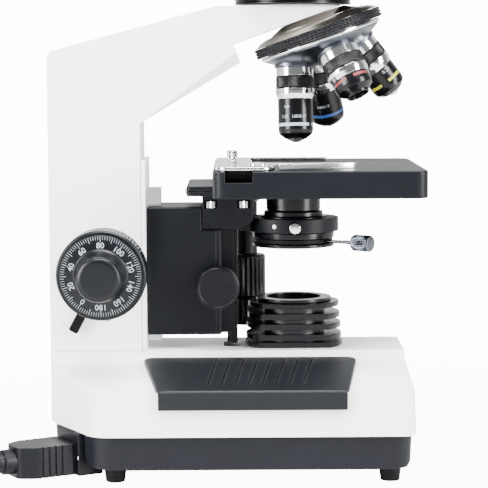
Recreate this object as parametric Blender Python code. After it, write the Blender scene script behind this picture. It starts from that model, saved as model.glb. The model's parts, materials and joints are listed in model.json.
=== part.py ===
"""Compound laboratory microscope, in metres, +Z up, standing on Z = 0.

The Z axis is the optical axis. +X points at the user, and -Y is the user's left. Each group below
is an empty on a joint's axis or at a mechanism's centre, and its pieces hang on it.
"""

import math

import bmesh
import bpy
from mathutils import Euler, Vector

GAP = 0.0003
SHARP_ANGLE = math.radians(35)
LARGE_ROUND = 28
ROUND = 20
MEDIUM_ROUND = 16
SMALL_ROUND = 10

# Base: plan outline, and the heights of the tray, the cover's edge, its shoulder and its deck.
BASE_REAR = -0.146
BASE_FRONT = 0.068
BASE_HALF = 0.089
CHAMFER_X = -0.1163
CHAMFER_Y = 0.036
CORNER = 0.009
TRAY_LOW = 0.014
COVER_LOW = 0.029
EDGE_TOP = 0.0543
SHOULDER_TOP = 0.0646
DECK = 0.0693
DECK_FRONT = 0.0654
COLUMN_HALF = 0.027
WALL = 0.003
FOOT_PLACES = {"rear": -0.1053, "front": 0.0536}
FOOT_Y = 0.070

# Arm and head boss
ARM_REAR = BASE_REAR
ARM_FACE = -0.0915
BOSS_RADIUS = 0.0298
BOSS_TOP = 0.275
PLATE_FRONT = -0.0885

# Focus mechanism: the knobs' axis, and the rack and pinion that lift the stage
FOCUS_X = -0.112
FOCUS_Z = 0.120
MODULE = 0.0009
FOCUS_TEETH = 12
RACK_SIDE = (0.003, 0.009)
BLOCK_REAR = -0.0881
BLOCK_FRONT = -0.0438
BLOCK_LOW = 0.078
BLOCK_HALF = 0.021

# Condenser slide, its knob and the condenser's own heights
SLIDE_REAR = -0.0389
SLIDE_FRONT = -0.0342
SLIDE_HALF = 0.009
CONDENSER_X = -0.0458
CONDENSER_Z = 0.1074
CONDENSER_TEETH = 10
HOLDER_LOW = 0.1391
HOLDER_TOP = 0.1474

# Stage: the guide fixed to the bracket, and the plate that slides on it
GUIDE_LOW = 0.1624
GUIDE_TOP = 0.1683
PLATE_LOW = 0.163
STAGE_TOP = 0.1789
STAGE_REAR = -0.0482
STAGE_FRONT = 0.0757
STAGE_HALF = 0.071
CHANNEL = (-0.041, -0.025)
HOLDER_PLATE = STAGE_TOP + GAP
STALK_X = -0.028
STALK_Y = 0.050

# Nosepiece: its axis leans forward and crosses the optical axis at the apex. It rests a little past
# the click stop that brings the longest objective onto the axis.
APEX_Z = 0.301
TURRET_TILT = math.radians(19.5)
TURRET_TURN = math.radians(17)
SEAT = 0.0641
CAP = 0.0630
BOSS_FACE = 0.0638
OBJECTIVES = {
    "objective_100x": (180, 0.0445, 0.0105),
    "objective_40x": (90, 0.0440, 0.0105),
    "objective_10x": (0, 0.0375, 0.0105),
    "objective_4x": (270, 0.0300, 0.0115),
}

# Head: the eye tubes swing about an axis that rises towards the user
HEAD_RING_TOP = 0.279
HINGE_Z = 0.312
TUBE_RISE = math.radians(30)
SWING = 0.0385
HALF_SPACING = 0.032
HUB_START = 0.034
HUB_END = 0.066
TUBE_END = 0.108
EYEPIECE_END = 0.1482

# Mains lead: plug axis height, cord, and the storage coil's place and turns
INLET_Z = 0.0135
CORD_RADIUS = 0.0034
COIL_CENTRE = (-0.270, -0.046)
COIL_TURN_RADII = (0.031, 0.045)
RELIEF_END = 0.080
LEAD_ROUTE = (
    (-0.2012, -0.1018, 0.0135),
    (-0.2080, -0.1054, 0.0127),
    (-0.2150, -0.1083, 0.0103),
    (-0.2215, -0.1098, 0.0072),
    (-0.2275, -0.1096, 0.0045),
    (-0.2335, -0.1080, 0.0036),
    (-0.2395, -0.1050, 0.0036),
    (-0.2450, -0.1010, 0.0036),
    (-0.2490, -0.0975, 0.0036),
)

FINISHES = {
    "white": ((0.86, 0.87, 0.85), 0.35, 0.0),
    "black": ((0.022, 0.024, 0.030), 0.40, 0.0),
    "chrome": ((0.80, 0.80, 0.80), 0.12, 1.0),
    "steel": ((0.55, 0.55, 0.56), 0.30, 1.0),
    "brass": ((0.65, 0.48, 0.22), 0.30, 1.0),
    "rubber": ((0.020, 0.020, 0.022), 0.75, 0.0),
    "glass": ((0.80, 0.87, 0.90), 0.05, 0.0),
    "board": ((0.05, 0.25, 0.12), 0.50, 0.0),
}


def clear_scene():
    for old in list(bpy.data.objects):
        bpy.data.objects.remove(old, do_unlink=True)


# Outlines, as lists of (a, b) pairs ---------------------------------------------------------------


def rectangle(low_a, high_a, low_b, high_b):
    return [(low_a, low_b), (high_a, low_b), (high_a, high_b), (low_a, high_b)]


def arc(centre, radius, start, end, steps):
    """Points on a circle from one angle to another, in degrees."""
    angles = [math.radians(start + (end - start) * k / steps) for k in range(steps + 1)]
    return [(centre[0] + radius * math.cos(t), centre[1] + radius * math.sin(t)) for t in angles]


def inset(corners, distance):
    """A convex outline, anticlockwise, with every side moved inwards."""
    points = [Vector(c) for c in corners]
    moved = []
    for k, here in enumerate(points):
        first = (here - points[k - 1]).normalized()
        second = (points[(k + 1) % len(points)] - here).normalized()
        normals = Vector((-first.y, first.x)), Vector((-second.y, second.x))
        shift = (normals[0] + normals[1]) * distance / (1 + normals[0].dot(normals[1]))
        moved.append(tuple(here + shift))
    return moved


def rounded(corners, radius, steps=3):
    """The same outline with each corner replaced by an arc."""
    points = [Vector(c) for c in corners]
    outline = []
    for k, here in enumerate(points):
        before = (points[k - 1] - here).normalized()
        after = (points[(k + 1) % len(points)] - here).normalized()
        half = before.angle(after) / 2
        reach = radius / math.tan(half)
        start, end = here + before * reach, here + after * reach
        for step in range(steps + 1):
            share = step / steps
            middle = start.lerp(end, share)
            bulge = 4 * share * (1 - share) * (reach * math.cos(half) - radius / math.sin(half) + radius)
            outline.append(tuple(middle + (here - start.lerp(end, 0.5)).normalized() * bulge))
    return outline


def base_plan(distance):
    """The base's plan outline, moved inwards by a distance."""
    corners = [
        (BASE_FRONT, -BASE_HALF),
        (BASE_FRONT, BASE_HALF),
        (CHAMFER_X, BASE_HALF),
        (BASE_REAR, CHAMFER_Y),
        (BASE_REAR, -CHAMFER_Y),
        (CHAMFER_X, -BASE_HALF),
    ]
    return rounded(inset(corners, distance), CORNER)


def gear_outline(centre, teeth, root, tip):
    """A pinion seen along its axle, with one tooth pointing along +a."""
    pitch = 2 * math.pi / teeth
    outline = []
    for k in range(teeth):
        for radius, offset in ((root, -0.27), (tip, -0.09), (tip, 0.09), (root, 0.27)):
            angle = (k + offset) * pitch
            outline.append((centre[0] + radius * math.cos(angle), centre[1] + radius * math.sin(angle)))
    return outline


def rack_outline(back, root, tip, low, high, centre):
    """A toothed bar seen from its side, with a gap between teeth at the height of the pinion."""
    pitch = math.pi * MODULE
    outline = [(root, high), (back, high), (back, low), (root, low)]
    first = math.ceil((low - centre) / pitch) + 1
    last = math.floor((high - centre) / pitch) - 1
    for k in range(first, last):
        middle = centre + (k + 0.5) * pitch
        for x, offset in ((root, -0.23), (tip, -0.09), (tip, 0.09), (root, 0.23)):
            outline.append((x, middle + offset * pitch))
    return outline


# Solids, as bmesh shapes --------------------------------------------------------------------------


def turned(profile, segments=ROUND):
    """A profile of (radius, height) points turned about Z. Off the axis, its ends are joined."""
    shape = bmesh.new()
    rings = []
    for radius, height in profile:
        if radius == 0:
            rings.append([shape.verts.new((0, 0, height))])
            continue
        angles = [2 * math.pi * k / segments for k in range(segments)]
        rings.append([shape.verts.new((radius * math.cos(t), radius * math.sin(t), height)) for t in angles])
    pairs = list(zip(rings, rings[1:]))
    if profile[0][0] and profile[-1][0]:
        pairs.append((rings[-1], rings[0]))
    for upper, lower in pairs:
        for k in range(segments):
            corners = [
                upper[k % len(upper)],
                lower[k % len(lower)],
                lower[(k + 1) % segments % len(lower)],
                upper[(k + 1) % segments % len(upper)],
            ]
            shape.faces.new(dict.fromkeys(corners))
    return shape


def disc(radius, low, high):
    """The profile of a plain round bar."""
    return [(0, high), (radius, high), (radius, low), (0, low)]


def ring(outer, inner, low, high):
    """The profile of a plain ring."""
    return [(outer, high), (outer, low), (inner, low), (inner, high)]


def extruded(outline, low, high, plane="XY"):
    """An outline in one plane, drawn out along the third axis."""
    place = {
        "XY": lambda a, b, c: (a, b, c),
        "XZ": lambda a, b, c: (a, c, b),
    }[plane]
    shape = bmesh.new()
    near = [shape.verts.new(place(a, b, low)) for a, b in outline]
    far = [shape.verts.new(place(a, b, high)) for a, b in outline]
    shape.faces.new(near)
    shape.faces.new(far)
    for k in range(len(outline)):
        following = (k + 1) % len(outline)
        shape.faces.new((near[k], near[following], far[following], far[k]))
    return shape


def box(low, high):
    return extruded(rectangle(low[0], high[0], low[1], high[1]), low[2], high[2])


def hulled(points):
    """The convex solid around some points."""
    shape = bmesh.new()
    for point in points:
        shape.verts.new(point)
    made = bmesh.ops.convex_hull(shape, input=shape.verts)
    inner = set(made["geom_interior"]) | set(made["geom_unused"])
    spare = [item for item in inner if isinstance(item, bmesh.types.BMVert)]
    bmesh.ops.delete(shape, geom=spare, context="VERTS")
    bmesh.ops.dissolve_limit(shape, angle_limit=math.radians(1), verts=shape.verts, edges=shape.edges)
    return shape


def at_height(outline, height):
    return [(a, b, height) for a, b in outline]


# Objects ------------------------------------------------------------------------------------------


def group(name, at=(0, 0, 0), turn=(0, 0, 0)):
    """An empty that the pieces of one mechanism hang on."""
    empty = bpy.data.objects.new(name, None)
    bpy.context.scene.collection.objects.link(empty)
    empty.location = at
    empty.rotation_euler = turn
    return empty


def solid(shape, name, parent, at, turn):
    bmesh.ops.recalc_face_normals(shape, faces=shape.faces)
    mesh = bpy.data.meshes.new(name)
    shape.to_mesh(mesh)
    shape.free()
    mesh.shade_smooth()
    mesh.set_sharp_from_angle(angle=SHARP_ANGLE)
    made = bpy.data.objects.new(name, mesh)
    bpy.context.scene.collection.objects.link(made)
    made.parent = parent
    made.location = at
    made.rotation_euler = turn
    return made


def finish(made, kind):
    colour, roughness, metallic = FINISHES[kind]
    material = bpy.data.materials.new(made.name + "_finish")
    material.use_nodes = True
    shader = material.node_tree.nodes["Principled BSDF"]
    shader.inputs["Base Color"].default_value = (*colour, 1)
    shader.inputs["Roughness"].default_value = roughness
    shader.inputs["Metallic"].default_value = metallic
    made.data.materials.append(material)


def piece(name, shape, kind, parent=None, at=(0, 0, 0), turn=(0, 0, 0)):
    made = solid(shape, name, parent, at, turn)
    finish(made, kind)
    return made


def soften(made, width, segments=2):
    """Rounds a piece's sharp edges."""
    bevel = made.modifiers.new("soften", "BEVEL")
    bevel.width = width
    bevel.segments = segments
    bevel.limit_method = "ANGLE"
    bevel.angle_limit = SHARP_ANGLE


def combine(made, shape, operation, at=(0, 0, 0), turn=(0, 0, 0)):
    """Cuts a shape from a piece or joins one to it. Its place is in the piece's own group."""
    count = len(made.modifiers)
    tool = solid(shape, f"{made.name}_{operation.lower()}_{count}", made.parent, at, turn)
    tool.hide_render = True
    tool.display_type = "WIRE"
    step = made.modifiers.new(f"{operation.lower()}_{count}", "BOOLEAN")
    step.operation = operation
    step.object = tool


def cut(made, shape, at=(0, 0, 0), turn=(0, 0, 0)):
    combine(made, shape, "DIFFERENCE", at, turn)


def join(made, shape, at=(0, 0, 0), turn=(0, 0, 0)):
    combine(made, shape, "UNION", at, turn)


QUARTER = math.pi / 2
TO_LEFT = (QUARTER, 0, 0)
TO_RIGHT = (-QUARTER, 0, 0)
SIDES = {"left": (-1, TO_LEFT), "right": (1, TO_RIGHT)}


# Base ---------------------------------------------------------------------------------------------


def chamfer_frame():
    """The middle of the rear left chamfer, and the turn that faces +X out of it."""
    front, rear = Vector((CHAMFER_X, -BASE_HALF)), Vector((BASE_REAR, -CHAMFER_Y))
    along = (rear - front).normalized()
    middle = (front + rear) / 2 + along * 0.003
    return (middle.x, middle.y, 0), (0, 0, math.atan2(-along.x, along.y) + math.pi)


def make_base():
    deck = rectangle(BASE_REAR, DECK_FRONT, -COLUMN_HALF, COLUMN_HALF)
    edges = at_height(base_plan(0), COVER_LOW) + at_height(base_plan(0.001), EDGE_TOP)
    cover = piece("base_cover", hulled(edges + at_height(deck, SHOULDER_TOP)), "white")
    join(cover, extruded(deck, SHOULDER_TOP - WALL, DECK))
    inner = at_height(base_plan(WALL), COVER_LOW - WALL) + at_height(base_plan(0.004), EDGE_TOP - WALL)
    inner_deck = inset(deck, WALL)
    cut(cover, hulled(inner + at_height(inner_deck, SHOULDER_TOP - WALL)))
    cut(cover, extruded(inner_deck, SHOULDER_TOP - 2 * WALL, DECK - WALL))
    cut(cover, turned(disc(0.015, DECK - 0.010, DECK + 0.010)))
    well = rectangle(-0.0428, SLIDE_FRONT + 0.001, -SLIDE_HALF - 0.001, SLIDE_HALF + 0.001)
    cut(cover, extruded(well, DECK - 0.010, DECK + 0.010))
    cut(cover, box((-0.150, -0.0074, 0.0308), (-0.140, 0.0074, 0.0512)))
    cut(cover, turned(disc(0.0033, -0.006, 0.006), SMALL_ROUND), at=(0.048, BASE_HALF, 0.041), turn=TO_RIGHT)

    low = at_height(base_plan(0.0065), TRAY_LOW) + at_height(base_plan(0.0030), TRAY_LOW + 0.004)
    tray = piece("base_tray", hulled(low + at_height(base_plan(0.0025), COVER_LOW - GAP)), "black")
    cut(tray, extruded(base_plan(0.0090), TRAY_LOW + 0.0025, COVER_LOW + WALL))
    place, turn = chamfer_frame()
    cut(tray, box((-0.0151, -0.0156, 0), (0.010, 0.0156, 0.040)), at=place, turn=turn)

    foot = [(0, TRAY_LOW - GAP), (0.0063, TRAY_LOW - GAP), (0.0063, 0.010), (0.0055, 0), (0, 0)]
    for end, x in FOOT_PLACES.items():
        for side, (sign, _) in SIDES.items():
            piece(f"foot_{end}_{side}", turned(foot, SMALL_ROUND), "rubber", at=(x, sign * FOOT_Y, 0))


def make_armrests():
    """Each rest lies on the sloping shoulder and turns down over the cover's side."""
    slope = (SHOULDER_TOP - EDGE_TOP) / (BASE_HALF - 0.001 - COLUMN_HALF)
    for side, (sign, _) in SIDES.items():
        points = []
        for y, ends in ((0.032, (-0.0907, 0.0367)), (0.0918, (-0.0802, 0.0287))):
            surface = SHOULDER_TOP - slope * (y - COLUMN_HALF)
            points += [(x, sign * y, surface + rise) for x in ends for rise in (0.0005, 0.0026)]
        rest = piece(f"armrest_{side}", hulled(points), "black")
        lip = sorted((sign * (BASE_HALF + GAP), sign * 0.0917))
        join(rest, box((-0.0801, lip[0], 0.045), (0.0286, lip[1], 0.0555)))


def make_lamp():
    core, flat = 0.019, 0.0198
    rim = [(0.0165, 0.0988), (0.0229, 0.0988), (0.0229, 0.0966)]
    fins = [(0.0275, 0.0950), (0.0281, 0.0882), (0.0287, 0.0820), (0.0291, 0.0756), (0.0297, 0.0710)]
    profile = list(rim)
    for radius, height in fins:
        top = min(height + 0.0016, 0.0965)
        low = max(height - 0.0016, DECK + GAP)
        profile += [(core, top + 0.0001), (radius, top), (radius, low), (core, low - 0.0001)]
    profile[-1] = (0.0120, DECK + GAP)
    profile += [(0.0120, 0.0880), (0.0165, 0.0880)]
    housing = piece("collector_housing", turned(profile), "black")
    combine(housing, box((-0.04, -flat, 0.06), (0.04, flat, 0.12)), "INTERSECT")
    lens = [(0, 0.0925), (0.008, 0.0918), (0.0161, 0.0900), (0.0161, 0.0883), (0, 0.0883)]
    piece("collector_lens", turned(lens), "glass")
    board = piece("lamp_board", box((-0.030, -0.022, 0.0560), (0.030, 0.022, 0.0576)), "board")
    emitter = [(0, 0.0680), (0.004, 0.0660), (0.005, 0.0640), (0.010, 0.0620), (0.010, 0.057), (0, 0.057)]
    join(board, turned(emitter))


def make_power():
    place, turn = chamfer_frame()
    chamfer = group("inlet_face", place, turn)
    inlet = piece("power_inlet", box((-0.0145, -0.015, 0.0035), (0.0012, 0.015, 0.0284)), "black", chamfer)
    cut(inlet, box((-0.0125, -0.0127, 0.0050), (0.010, 0.0127, 0.0220)))

    rocker = group("rocker_axis", (-0.1385, 0, 0.041), (0, math.radians(6), 0))
    rocker_side = [(-0.0078, -0.009), (-0.0078, 0.009), (0, 0.006), (0, -0.006)]
    piece("power_rocker", extruded(rocker_side, -0.007, 0.007, "XZ"), "black", rocker)

    dial = group("brightness_axis", (0.048, BASE_HALF, 0.041), TO_RIGHT)
    knob = [(0, 0.008), (0.0080, 0.008), (0.0093, 0.0068), (0.0095, GAP), (0.0028, GAP)]
    knob += [(0.0028, -0.006), (0, -0.006)]
    piece("brightness_dial", turned(knob, MEDIUM_ROUND), "black", dial)


def make_cord():
    place, turn = chamfer_frame()
    chamfer = group("connector_axis", (place[0], place[1], INLET_Z), turn)
    body = [(0.0018, 0.0135), (0.026, 0.0135), (0.036, 0.0080)]
    body += [(x, -y) for x, y in reversed(body)]
    connector = piece("cord_connector", extruded(body, -0.009, 0.009), "black", chamfer)
    soften(connector, 0.0015)
    join(connector, box((-0.0120, -0.0122, -0.0080), (0.0030, 0.0122, 0.0080)))
    relief = [(0, RELIEF_END), (0.0046, RELIEF_END), (0.0060, 0.043), (0.0060, 0.041), (0.0072, 0.041)]
    relief += [(0.0072, 0.034), (0, 0.034)]
    join(connector, turned(relief, SMALL_ROUND), turn=(0, QUARTER, 0))

    tube = bpy.data.curves.new("cord", "CURVE")
    tube.dimensions = "3D"
    tube.bevel_depth = CORD_RADIUS
    tube.bevel_resolution = 2
    tube.use_fill_caps = True
    line = tube.splines.new("POLY")
    line.points.add(len(LEAD_ROUTE) - 1)
    for point, place in zip(line.points, LEAD_ROUTE):
        point.co = (*place, 1)
    cord = bpy.data.objects.new("cord", tube)
    bpy.context.scene.collection.objects.link(cord)
    finish(cord, "rubber")

    inner = COIL_TURN_RADII[0] - CORD_RADIUS
    outer = COIL_TURN_RADII[1] + CORD_RADIUS
    top, edge = 4 * CORD_RADIUS, 0.0024
    coil = [(outer - edge, top), (outer, top - edge), (outer, edge), (outer - edge, 0)]
    coil += [(inner + edge, 0), (inner, edge), (inner, top - edge), (inner + edge, top)]
    piece("cord_coil", turned(coil), "rubber", at=(*COIL_CENTRE, 0))

    wall = group("mains_plug_axis", (COIL_CENTRE[0] - COIL_TURN_RADII[1], COIL_CENTRE[1] + 0.0276, 0))
    grip = [(0.0085, 0.030), (0.0125, 0.040), (0.0125, 0.066)]
    grip += [(-x, y) for x, y in reversed(grip)]
    plug = piece("mains_plug", extruded(grip, 0.0004, 0.0214), "black", wall)
    soften(plug, 0.003)
    boot = [(0, 0.034), (0.0062, 0.034), (0.0045, 0), (0, 0)]
    join(plug, turned(boot, SMALL_ROUND), at=(0, 0, 3 * CORD_RADIUS), turn=TO_RIGHT)
    for x in (-0.0064, 0.0064):
        join(plug, box((x - 0.0008, 0.064, 0.0093), (x + 0.0008, 0.083, 0.0156)))
    join(plug, turned(disc(0.0024, 0.064, 0.086), SMALL_ROUND), at=(0, 0, 0.0050), turn=TO_RIGHT)


# Arm ----------------------------------------------------------------------------------------------


def make_arm():
    half, low_half = COLUMN_HALF, 0.019
    column = rectangle(ARM_REAR, ARM_FACE, DECK + GAP, 0.225)
    arm = piece("arm", extruded(column, -half, half, "XZ"), "white")
    beam = [(-0.146, 0.205), (-0.146, 0.244), (-0.144, 0.248), (-0.046, 0.274), (0.004, 0.2745)]
    beam += [(-0.030, 0.261), (-0.0915, 0.230), (-0.0915, 0.205)]
    under = [(-0.0915, 0.219), (-0.0385, 0.243), (-0.024, 0.254), (0.004, 0.262)]
    points = [(x, sign * half, z) for sign in (-1, 1) for x, z in beam]
    points += [(x, sign * low_half, z) for sign in (-1, 1) for x, z in under]
    join(arm, hulled(points))
    boss_top = [(0, BOSS_TOP), (BOSS_RADIUS - 0.0015, BOSS_TOP), (BOSS_RADIUS, BOSS_TOP - 0.0015)]
    join(arm, turned(boss_top + [(BOSS_RADIUS, 0.240), (0, 0.240)], LARGE_ROUND))
    soften(arm, 0.0025)
    cut(arm, box((-0.05, -0.05, -0.08), (0.05, 0.05, -0.0345)), at=(0, 0, APEX_Z), turn=(0, -TURRET_TILT, 0))
    cut(arm, turned(disc(0.011, 0.230, 0.290), MEDIUM_ROUND))
    cut(arm, box((FOCUS_X - 0.011, -0.016, 0.081), (ARM_FACE + 0.005, 0.016, 0.165)))
    bore = turned(disc(0.0050, -0.030, 0.030), SMALL_ROUND)
    cut(arm, bore, at=(FOCUS_X, 0, FOCUS_Z), turn=TO_LEFT)

    front = rectangle(ARM_FACE + GAP, PLATE_FRONT, -half, half)
    plate = piece("arm_front_plate", extruded(front, DECK + GAP, 0.183), "white")
    cut(plate, box((-0.1, RACK_SIDE[0] - 0.001, 0.076), (-0.08, RACK_SIDE[1] + 0.001, 0.166)))
    rail = rectangle(PLATE_FRONT + GAP, -0.0800, -0.0150, -0.0010)
    piece("focus_rail", extruded(rail, 0.074, 0.166), "steel")
    piece("head_ring", turned(ring(0.035, 0.0205, BOSS_TOP + GAP, HEAD_RING_TOP), ROUND), "black")


# Focus block and stage bracket --------------------------------------------------------------------


def make_carriage():
    notch_x, notch_z = -0.0553, 0.1417
    side = [(BLOCK_REAR, BLOCK_LOW), (BLOCK_FRONT, BLOCK_LOW), (BLOCK_FRONT, notch_z)]
    side += [(notch_x, notch_z), (notch_x, 0.155), (BLOCK_REAR, 0.155)]
    block = piece("focus_block", extruded(side, -BLOCK_HALF, BLOCK_HALF, "XZ"), "black")
    soften(block, 0.0010, 1)
    cut(block, box((-0.095, -0.0154, 0.07), (-0.0796, -0.0006, 0.16)))
    for sign in (-1, 1):
        cheek = sorted((sign * (SLIDE_HALF + 0.0004), sign * 0.0140))
        join(block, box((BLOCK_FRONT - 0.001, cheek[0], BLOCK_LOW + 0.0004), (-0.0362, cheek[1], notch_z)))
    centre = (CONDENSER_X, 0, CONDENSER_Z)
    cut(block, turned(disc(0.0056, -0.0060, 0.0060), MEDIUM_ROUND), at=centre, turn=TO_LEFT)
    cut(block, turned(disc(0.0034, -0.0080, 0.0300), SMALL_ROUND), at=centre, turn=TO_LEFT)

    pitch_x = FOCUS_X + MODULE * FOCUS_TEETH / 2
    rack = rack_outline(BLOCK_REAR - GAP, pitch_x + 0.0008, pitch_x - 0.0005, 0.092, 0.150, FOCUS_Z)
    piece("focus_rack", extruded(rack, *RACK_SIDE, "XZ"), "brass")

    bracket_side = [(-0.055, notch_z + GAP), (-0.0325, notch_z + GAP), (-0.0247, 0.1466)]
    bracket_side += [(-0.0247, GUIDE_LOW - GAP), (-0.055, GUIDE_LOW - GAP)]
    bracket = piece("stage_bracket", extruded(bracket_side, -0.020, 0.020, "XZ"), "black")
    soften(bracket, 0.0006, 1)
    cut(bracket, box((-0.0395, -0.0142, 0.135), (-0.020, 0.0142, 0.1500)))

    guide_plan = rounded(rectangle(-0.064, 0.032, -0.036, 0.036), 0.003, 2)
    guide = piece("stage_guide", extruded(guide_plan, GUIDE_LOW, GUIDE_TOP), "black")
    cut(guide, turned(disc(0.0172, 0.15, 0.18)))


# Focus knobs --------------------------------------------------------------------------------------


def make_focus_knobs():
    coarse = group("coarse_axis", (FOCUS_X, 0, FOCUS_Z))
    fine = group("fine_axis", (FOCUS_X, 0, FOCUS_Z))
    tube = turned(ring(0.0045, 0.0023, -0.053, 0.053), SMALL_ROUND)
    shaft = piece("coarse_shaft", tube, "steel", coarse, turn=TO_LEFT)
    pinion = gear_outline((0, 0), FOCUS_TEETH, 0.0046, 0.0060)
    join(shaft, extruded(pinion, *RACK_SIDE, "XZ"))
    cut(shaft, turned(disc(0.0023, -0.06, 0.06), SMALL_ROUND), turn=TO_LEFT)
    rod = turned(disc(0.0020, -0.081, 0.081), SMALL_ROUND)
    piece("fine_shaft", rod, "steel", fine, turn=TO_LEFT)

    wheel = [(0.0250, 0.0740), (0.0260, 0.0730), (0.0260, 0.0550), (0.0250, 0.0540), (0.0140, 0.0540)]
    wheel += [(0.0140, 0.0340), (0.0048, 0.0340), (0.0048, 0.0550), (0.0026, 0.0550), (0.0026, 0.0740)]
    grip = [(0, 0.0970), (0.0100, 0.0970), (0.0125, 0.0960), (0.0130, 0.0940), (0.0130, 0.0830)]
    grip += [(0.0152, 0.0776), (0.0235, 0.0770), (0.0235, 0.0743), (0.0023, 0.0743)]
    grip += [(0.0023, 0.0815), (0, 0.0815)]
    for side, (_, turn) in SIDES.items():
        piece(f"coarse_knob_{side}", turned(wheel, ROUND), "black", coarse, turn=turn)
        piece(f"fine_knob_{side}", turned(grip, ROUND), "black", fine, turn=turn)

    lever_angle = math.radians(-118)
    tension = group("tension_axis", (FOCUS_X, 0, FOCUS_Z), (0, -lever_angle, 0))
    collar = turned(ring(0.0125, 0.0050, COLUMN_HALF + GAP, 0.0320))
    lever = piece("tension_lever", collar, "black", tension, turn=TO_LEFT)
    join(lever, box((0.008, -0.0318, -0.0027), (0.040, -0.0276, 0.0027)))


# Condenser ----------------------------------------------------------------------------------------


def make_condenser():
    pitch_x = CONDENSER_X + MODULE * CONDENSER_TEETH / 2
    rack = rack_outline(SLIDE_REAR + 0.0005, pitch_x + 0.0008, pitch_x - 0.0005, 0.071, 0.138, CONDENSER_Z)
    slide = piece("condenser_rack", extruded(rack, -0.004, 0.004, "XZ"), "black")
    bar = rectangle(SLIDE_REAR, SLIDE_FRONT, -SLIDE_HALF, SLIDE_HALF)
    join(slide, extruded(bar, 0.0712, HOLDER_TOP - 0.0002))

    holder = piece("condenser_holder", turned(ring(0.0274, 0.0203, HOLDER_LOW, HOLDER_TOP), ROUND), "black")
    join(holder, box((SLIDE_FRONT + GAP, -0.008, HOLDER_LOW + 0.0003), (-0.0240, 0.008, HOLDER_TOP - 0.0003)))
    cut(holder, turned(disc(0.0304, -0.012, 0.012)), at=(0, 0, 0.1700))
    cut(holder, turned(disc(0.0021, 0.0150, 0.0300), SMALL_ROUND), at=(0, 0, 0.1432), turn=TO_LEFT)
    screw = [(0, 0.0370), (0.0030, 0.0370), (0.0034, 0.0365), (0.0034, 0.0290), (0.0018, 0.0280)]
    screw += [(0.0018, 0.0207), (0, 0.0207)]
    piece("condenser_clamp_screw", turned(screw, SMALL_ROUND), "chrome", at=(0, 0, 0.1432), turn=TO_LEFT)

    outside = [(0.0125, 0.1760), (0.0129, 0.1760), (0.0129, 0.1720), (0.0164, 0.1712)]
    outside += [(0.0164, 0.1518), (0.0135, 0.1515)]
    outside += [(0.0179, 0.1510), (0.0179, 0.1484), (0.0200, 0.1480), (0.0200, 0.1388), (0.0247, 0.1386)]
    outside += [(0.0247, 0.1352), (0.0208, 0.1350), (0.0208, 0.1320), (0.0247, 0.1318), (0.0247, 0.1298)]
    inside = [(0.0160, 0.1298), (0.0120, 0.1380), (0.0105, 0.1740), (0.0125, 0.1740)]
    piece("condenser_barrel", turned(outside + inside, ROUND), "black")
    lens = [(0, 0.1780), (0.006, 0.1776), (0.0122, 0.1762), (0.0122, 0.1743), (0, 0.1743)]
    piece("condenser_lens", turned(lens, MEDIUM_ROUND), "glass")

    iris = group("iris_axis", (0, 0, 0.1335), (0, 0, math.radians(-35)))
    lever = piece("iris_lever", turned(ring(0.0238, 0.0212, -0.0010, 0.0010)), "chrome", iris)
    stem = [(0, 0.0550), (0.0044, 0.0550), (0.0049, 0.0542), (0.0049, 0.0437), (0.0044, 0.0430)]
    stem += [(0.0016, 0.0425), (0.0012, 0.0415), (0.0009, 0.0225), (0, 0.0225)]
    join(lever, turned(stem, SMALL_ROUND), turn=(0, QUARTER, 0))

    drive = group("condenser_axis", (CONDENSER_X, 0, CONDENSER_Z))
    knob = [(0, 0.0350), (0.0115, 0.0350), (0.0127, 0.0338), (0.0127, 0.0235), (0.0120, 0.0228)]
    knob += [(0.0030, 0.0226), (0.0030, -0.0060), (0, -0.0060)]
    wheel = piece("condenser_knob", turned(knob, MEDIUM_ROUND), "black", drive, turn=TO_LEFT)
    join(wheel, extruded(gear_outline((0, 0), CONDENSER_TEETH, 0.0037, 0.0051), -0.0045, 0.0045, "XZ"))


# Stage --------------------------------------------------------------------------------------------


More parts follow.
